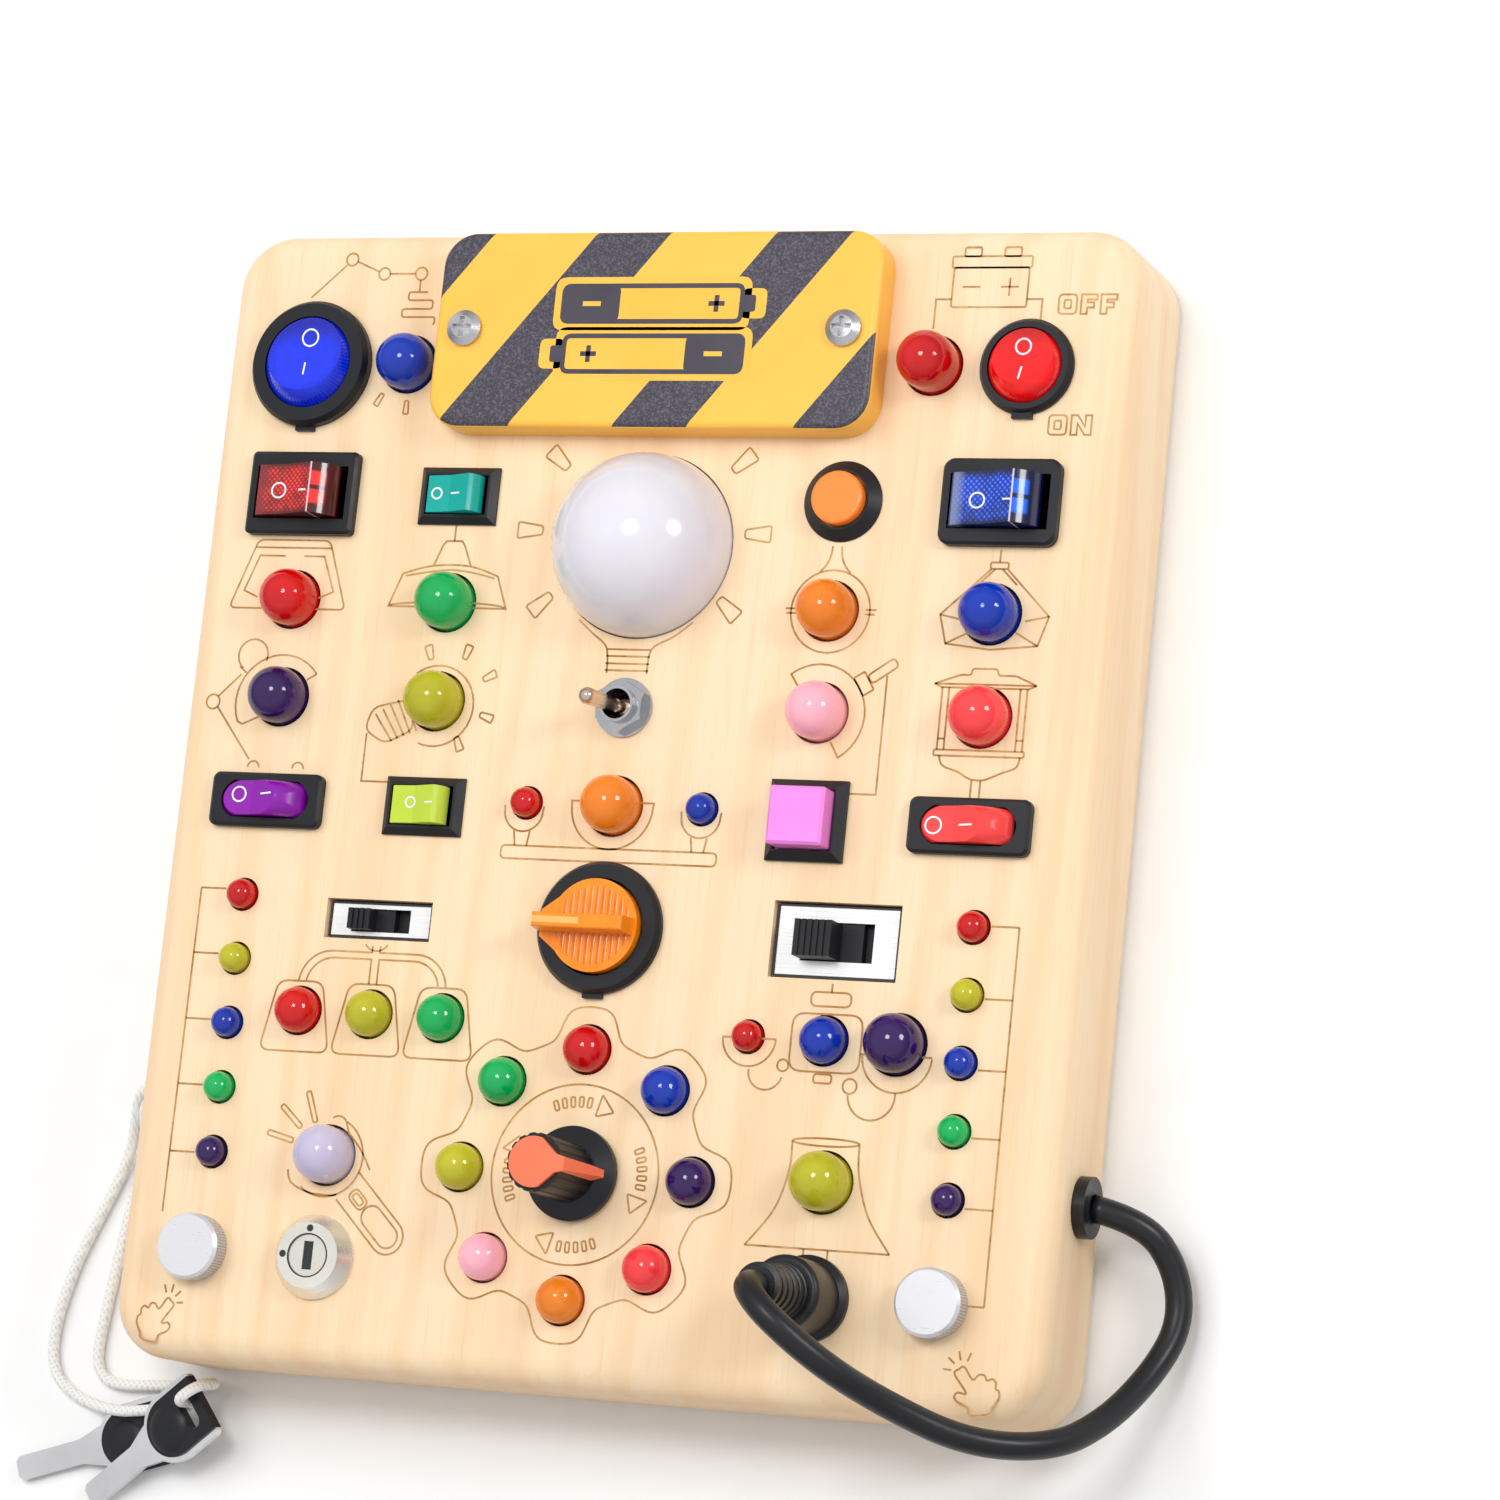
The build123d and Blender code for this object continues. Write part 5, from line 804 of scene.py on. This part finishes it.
# lantern round the coral lamp
outline(softened([(60.6, 23.2), (62.4, 23.2), (62.6, 24.3), (67.0, 24.3), (67.3, 23.2), (70.4, 23.2),
                  (74.2, 21.6), (56.0, 21.6)], 0.4))
draw((56.0, 21.6), (57.4, 21.0), (72.8, 21.0), (74.2, 21.6))
draw_all([(57.5, 21.0), (57.5, 10.3)], [(58.7, 21.0), (58.7, 10.3)], [(71.4, 21.0), (71.4, 10.3)],
         [(72.6, 21.0), (72.6, 10.3)], [(57.5, 12.2), (58.7, 12.2)], [(71.4, 12.2), (72.6, 12.2)])
outline(box_line(65.0, 9.8, 16.0, 1.0, 0.3))
curve((58.0, 9.3), (58.8, 7.6), (61.6, 6.6), (63.2, 5.7), (64.4, 5.3), (66.2, 5.3),
      (67.6, 5.8), (69.4, 6.6), (71.8, 7.6), (72.4, 9.3))
draw((64.2, 5.2), (64.2, 2.1))
draw((65.8, 5.2), (65.8, 2.1))
# three-bowl bar over the selector
outline(softened([(-20.6, -8.9), (19.7, -8.9), (19.7, -11.2), (-20.6, -11.2)], 0.9))
for cx in (-17.0, 16.1):
    draw((cx - 3.7, -1.9), *arc(cx, -2.8, 3.6, 178, 362), (cx + 3.7, -1.9))
    draw((cx - 1.5, -6.3), (cx - 1.1, -8.9))
    draw((cx + 1.5, -6.3), (cx + 1.1, -8.9))
outline([(-8.2, -0.7), *arc(-0.5, -1.4, 7.6, 180, 360), (7.2, -0.7)])
# two side rows of lamps: their lines to the studs
for x0, x1, rows, foot in ((-77.7, -72.8, (-18.7, -30.3, -42.0, -53.6, -65.5), -76.2),
                           (75.1, 70.2, (-19.3, -31.5, -43.4, -54.7, -66.4), -82.3)):
    draw((x0, rows[0]), (x0, foot))
    for y in rows:
        draw((x1, y), (x0, y))
draw((71.5, -82.3), (75.1, -82.3))
# three shades under the small slide switch
draw((-42.9, -34.4), (-42.9, -30.0), (-50.0, -30.0), *arc(-50.0, -35.1, 5.1, 90, 170)[1:])
draw((-41.4, -34.4), (-41.4, -30.0), (-34.6, -30.0), *arc(-34.6, -35.1, 5.1, 90, 10)[1:])
draw((-42.9, -27.6), (-42.9, -28.8), (-50.4, -28.8), *arc(-50.4, -34.9, 6.1, 90, 174)[1:])
draw((-41.4, -27.6), (-41.4, -28.8), (-34.2, -28.8), *arc(-34.2, -34.9, 6.1, 90, 6)[1:])
draw(*arc(-42.2, -25.9, 2.6, 215, 325))
for cx in (-56.0, -42.2, -28.4):
    outline(softened([(cx - 4.3, -34.4), (cx + 4.3, -34.4), (cx + 6.7, -46.8), (cx - 6.7, -46.8)], 1.9))
# bowl lamps under the large slide switch
draw((43.1, -30.2), (43.1, -31.7))
outline(box_line(43.1, -32.9, 7.2, 2.4, 1.1))
outline(box_line(42.9, -40.3, 12.6, 9.8, 2.2))
outline(box_line(42.9, -46.3, 3.2, 1.5, 0.5))
draw((24.2, -40.1), (34.0, -40.1))
draw(*arc(29.1, -40.1, 4.8, 182, 358))
draw(*arc(32.6, -45.6, 3.1, 175, 345))
outline(ring(35.6, -44.4, 1.0))
draw((49.2, -41.8), (62.0, -41.8))
draw(*arc(55.8, -41.8, 6.2, 182, 358))
outline(ring(47.9, -47.3, 1.25))
draw(*arc(51.9, -48.6, 4.2, 182, 368))
# hand torch round the pale lamp
for a, b in (((-58.7, -61.2), (-54.2, -62.3)), ((-56.6, -56.5), (-52.9, -59.8)),
             ((-51.9, -53.9), (-50.1, -58.7))):
    outline(box_line((a[0] + b[0]) / 2, (a[1] + b[1]) / 2, dist(a, b) + 0.5, 0.9, 0.45,
                     degrees(atan2(b[1] - a[1], b[0] - a[0]))))
draw(*arc(-47.2, -64.7, 7.0, 62, -128))
draw(*arc(-45.6, -59.3, 1.7, 130, 20), *smooth_line([(-43.4, -60.4), (-40.6, -63.4), (-38.6, -66.6)]))
curve((-54.3, -67.4), (-53.4, -69.6), (-50.0, -71.1), (-46.0, -71.4), (-44.4, -71.2))
draw((-44.4, -72.0), *arc(-34.0, -77.8, 3.1, -134, 46), (-40.6, -67.1))
outline(arc(-34.0, -77.8, 2.0, -134, 46) + arc(-37.2, -74.7, 2.0, 46, 226))
outline(box_line(-40.2, -71.8, 3.6, 2.3, 1.1, -44))
outline(box_line(-40.2, -71.8, 2.3, 1.2, 0.6, -44))
# cog, circle and four turning arrows round the pointer knob
cog_r, cog_depth, cog_edge, teeth, cog_steps = 25.9, 2.8, 1.9, 8, 240
cog = []
for i in range(cog_steps):
    turn = radians(360 / cog_steps * i)
    r = cog_r + cog_depth * tanh(cog_edge * cos(teeth * turn)) / tanh(cog_edge)
    cog.append((KNOB[0] + r * sin(turn), KNOB[1] + r * cos(turn)))
outline(cog)
outline(ring(*KNOB, 15.4, steps=90))
for quarter in range(4):
    base = 90 * quarter + 78
    for i in range(5):
        angle = base + 34 - 7.2 * i
        outline(box_line(*polar(*KNOB, 12.4, angle), 1.7, 0.75, 0.3, angle))
    outline(softened([polar(*KNOB, *tip) for tip in ((10.4, base - 3), (14.3, base - 3), (12.4, base - 17))],
                     0.4))
# lamp shade round the olive lamp
outline(ring(44.7, -56.9, 6.0, 0.65))
curve((38.7, -57.0), (38.6, -62.0), (36.6, -68.6), (32.0, -74.8))
curve((50.7, -57.0), (51.1, -62.0), (53.4, -68.8), (57.8, -74.8))
draw((32.0, -74.8), (57.8, -74.8))
draw((42.6, -74.8), (42.6, -76.4))
draw((46.9, -74.8), (46.9, -76.4))
# tapping hands beside the studs
hand = [(3.2, 2.6), (2.3, 3.0), (0.7, 1.1), (-0.3, 1.9), (-1.3, 1.9), (-1.8, 1.1), (-2.7, 1.4), (-3.4, 0.8),
        (-3.4, -0.1), (-4.0, -0.5), (-4.1, -1.6), (-3.2, -3.2), (-2.6, -4.3), (0.6, -4.7), (1.2, -3.5),
        (3.0, -2.7), (3.6, -1.9), (3.0, -1.2), (1.6, -1.2), (3.8, 1.6), (3.7, 2.3)]
for x0, y0, flip in ((-76.6, -94.2, 0.85), (75.0, -95.2, -1)):
    outline(smooth_line([(x0 + flip * x, y0 + y) for x, y in hand], 4))
    cx, cy = x0 + flip * 2.6, y0 + 2.2
    for angle in (112, 76, 40, 4):
        draw(polar(cx, cy, flip * 1.9, angle, 1.9), polar(cx, cy, flip * 3.4, angle, 3.4))

ribbons("face_icons", icons, BURNT_W, burnt_look(), flat_at(FACE + SKIN))

# ------------------------------------------------------------------ lock: painted shade in its dots and key slot, and its parting line
BARREL_TOP = 27.2
DOT_OUT, DOT_R = 4.7, 0.62
SLOT_HALF_W, SLOT_HALF_L, SLOT_DOWN = 0.88, 2.42, 0.35
PARTING_R, PARTING_W = 3.72, 0.24
dark = printed("lock_dark", "#1E2A28", "#141C1B", 0.4)
# painted shade: dark discs over the two shallow dimples on the barrel's top
filled("lock_dot_shade", [ring(LOCK[0], LOCK[1] + DOT_OUT, DOT_R, steps=20),
                     ring(LOCK[0] - DOT_OUT, LOCK[1], DOT_R, steps=20)], dark, BARREL_TOP + 0.02)
# painted shade: a dark sheet down inside the rotor's key slot
filled("lock_keyway_shade", [turned(*LOCK, 0, corners_of(SLOT_HALF_W, SLOT_HALF_L))], dark,
       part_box("lock_rotor")[1][2] / MM - SLOT_DOWN, body="lock_core")
ribbons("lock_ring", [(ring(*LOCK, PARTING_R, steps=48), True)], PARTING_W, dark, flat_at(BARREL_TOP + 0.03))

# ------------------------------------------------------------------ dark edges of the slide plates
SLIDE_Y, SLIDE_TOP, EDGE_W, EDGE_R = -23.0, 22.84, 0.4, 0.05
ribbons("slide_edges", [(box_line(-42.5, SLIDE_Y, 19.2, 5.9, EDGE_R), True),
                        (box_line(42.7, SLIDE_Y, 21.9, 12.0, EDGE_R), True)],
        EDGE_W, printed("slide_edge", "#2A2A30", "#1C1C20", 0.4), flat_at(SLIDE_TOP))

# ------------------------------------------------------------------ print on the battery cover: two cells
CELL_X, CELL_L, CELL_W, CELL_R = -0.5, 33.6, 6.4, 1.2
CELL_LINE, HALO_R, NUB_HALO_R = 0.85, 2.0, 1.2
DARK_X, DARK_L, DARK_W = -11.9, 10.6, 6.2
NUB_X, NUB_L, NUB_W = 17.7, 2.4, 3.0
PLUS_X, PLUS_HALF = 11.6, 1.5
MINUS_X0, MINUS_X1 = 13.6, 10.2
HALO_UP, BAND_UP, LINE_UP = 0.03, 0.05, 0.07
ink = printed("plate_ink", "#37333E", "#4C4856", 0.45)
paint = printed("plate_paint", "#FCC04A", "#F5B338", 0.45)
halos, darks, signs, cells = [], [], [], []
for cy, flip in ((86.2, 1), (77.2, -1)):
    halos += [box_line(CELL_X * flip, cy, 37.0, 9.6, HALO_R), box_line(18.6 * flip, cy, 4.6, 5.4, NUB_HALO_R)]
    darks += [box_line(DARK_X * flip, cy, DARK_L, DARK_W, 1.0), box_line(NUB_X * flip, cy, NUB_L, NUB_W, 0.5)]
    cells += [(box_line(CELL_X * flip, cy, CELL_L, CELL_W, CELL_R), True),
              ([(flip * PLUS_X, cy - PLUS_HALF), (flip * PLUS_X, cy + PLUS_HALF)], False),
              ([(flip * (PLUS_X - PLUS_HALF), cy), (flip * (PLUS_X + PLUS_HALF), cy)], False)]
    signs.append(([(-flip * MINUS_X0, cy), (-flip * MINUS_X1, cy)], False))
filled("plate_halo", halos, paint, PLATE + HALO_UP)
filled("plate_bands", darks, ink, PLATE + BAND_UP)
ribbons("plate_print", cells, CELL_LINE, ink, flat_at(PLATE + LINE_UP))
ribbons("plate_signs", signs, CELL_LINE, paint, flat_at(PLATE + LINE_UP))

# ------------------------------------------------------------------ print on the back panel: plain shapes
HUES = ("#2FA36B", "#8A5A3C", "#3B4046", "#C9503C", "#9FA6C4", "#E96BA8", "#F2B93B", "#3FA9D6", "#E2574C")
BACK_SHAPE_UP, BACK_LINE_UP = 0.46, 0.44     # just under the panel, whose face is at 0.5
COLUMNS = [-57.0 + 19.0 * i for i in range(7)]
ROWS = [74.0 - 23.0 * i for i in range(5)]
SHAPE_R, LAMP_Y, SWITCH_Y = 6.3, -50.0, -66.0


def darker_of(color, share=0.86):
    """The same colour, as a hex code, a little darker."""
    return "#" + "".join("%02X" % int(int(color[i:i + 2], 16) * share) for i in (1, 3, 5))


def spokes(cx, cy, count, *radii, start=0):
    """Points round a middle at equal angles, with radii that take turns."""
    return [polar(cx, cy, radii[i % len(radii)], start + 360 / count * i) for i in range(count)]


def heart(cx, cy, r, steps=36):
    return [(cx + r * 1.05 * sin(t) ** 3,
             cy + r * (0.85 * cos(t) - 0.33 * cos(2 * t) - 0.13 * cos(3 * t) - 0.06 * cos(4 * t)))
            for t in (2 * pi * i / steps for i in range(steps))]


FIGURES = (
    lambda cx, cy, r: ring(cx, cy, r, steps=32),
    lambda cx, cy, r: box_line(cx, cy, 1.75 * r, 1.75 * r, 1.2),
    lambda cx, cy, r: softened([(cx - r, cy - 0.85 * r), (cx + r, cy - 0.85 * r), (cx, cy + r)], 1.0),
    lambda cx, cy, r: spokes(cx, cy, 10, 1.1 * r, 1.1 * r * 0.45, start=90),
    lambda cx, cy, r: softened(spokes(cx, cy, 6, r), 0.8),
    lambda cx, cy, r: box_line(cx, cy, 1.35 * r, 1.35 * r, 0.8, 45),
    heart)
by_hue = [[] for _ in HUES]
frames = []
for row, y in enumerate(ROWS):
    for i, x in enumerate(COLUMNS):
        by_hue[(i + 3 * row) % len(HUES)].append(FIGURES[(i + 2 * row) % len(FIGURES)](x, y, SHAPE_R))
for i, x in enumerate(COLUMNS):
    by_hue[(2 * i + 1) % len(HUES)] += [ring(x, LAMP_Y, 4.0, steps=28), box_line(x, SWITCH_Y, 11.0, 5.2, 1.0)]
    frames += [(box_line(x, SWITCH_Y, 13.4, 7.6, 1.2), True), (ring(x, LAMP_Y, 5.0, steps=28), True),
               ([(x, LAMP_Y - 5.0), (x, SWITCH_Y + 3.8)], False)]
for hue, (color, shapes) in enumerate(zip(HUES, by_hue)):
    filled("back_shapes_%d" % hue, shapes, printed("back_ink_%d" % hue, color, darker_of(color), 0.55),
           BACK_SHAPE_UP, -1)
ribbons("back_lines", frames, 0.6, printed("back_ink_dark", "#3A3540", "#2C2832", 0.55),
        flat_at(BACK_LINE_UP))

# ------------------------------------------------------------------ floor
FLOOR_HALF, FLOOR_Z = 4000, -0.3
corners = [(x, y, FLOOR_Z) for x, y in corners_of(FLOOR_HALF, FLOOR_HALF)]
mesh_object("floor", corners, [(0, 1, 2, 3)],
                     plastic("floor", "#F8F8F8", "#F5F5F5", 0.6, 0.05, 60.0, 0.00001, 0.1))


# ------------------------------------------------------------------ light
def lamp(name, toward, distance, size, power, shape="DISK"):
    """A soft light, sizes in metres, in a direction from the board that is given in the camera's own axes."""
    data = bpy.data.lights.new(name, "AREA")
    data.shape, data.size, data.energy = shape, size, power
    made = placed(name, data)
    way = (right * toward[0] + up * toward[1] - ahead * toward[2]).normalized()
    made.location = way * distance
    made.rotation_euler = way.to_track_quat("Z", "Y").to_euler()
    return made


def backdrop(name, strength):
    """White light from all round."""
    return add(world, "Background", {"Color": (1.0, 1.0, 1.0, 1.0), "Strength": strength}, name=name)


# the large key light gives shadow and shape, and the two small ones the highlights on the lamps
key = lamp("key", (-0.75, 0.55, 0.65), 1.4, 0.9, 7.2, "SQUARE")
key.visible_glossy = False
lamp("spot_right", (0.56, 0.37, 0.74), 0.95, 0.26, 2.2)
lamp("spot_left", (-0.29, 0.39, 0.88), 0.95, 0.26, 2.2)
world = bpy.data.worlds.new("world")
bpy.context.scene.world = world
world.use_nodes = True
world.node_tree.nodes.remove(world.node_tree.nodes["Background"])
soft, shown, white = backdrop("soft", 0.55), backdrop("shown", 1.0), backdrop("white", 1.0)
_, _, sky = parts_of(world, "TexCoord", "Generated")
height, _ = ranged(world, sky, 0.15, 0.6, 0.35, 0.85)
world.node_tree.links.new(height.outputs["Result"], shown.inputs["Strength"])
path = add(world, "LightPath")
mirrored = calc(world, "MAXIMUM", (path, "Is Glossy Ray"), (path, "Is Transmission Ray"))
first = add(world, "MixShader", {"Fac": mirrored, 1: (soft, "Background"), 2: (shown, "Background")})
last = add(world, "MixShader", {"Fac": (path, "Is Camera Ray"), 1: (first, "Shader"),
                                2: (white, "Background")})
world.node_tree.links.new(last.outputs["Shader"], world.node_tree.nodes["World Output"].inputs["Surface"])
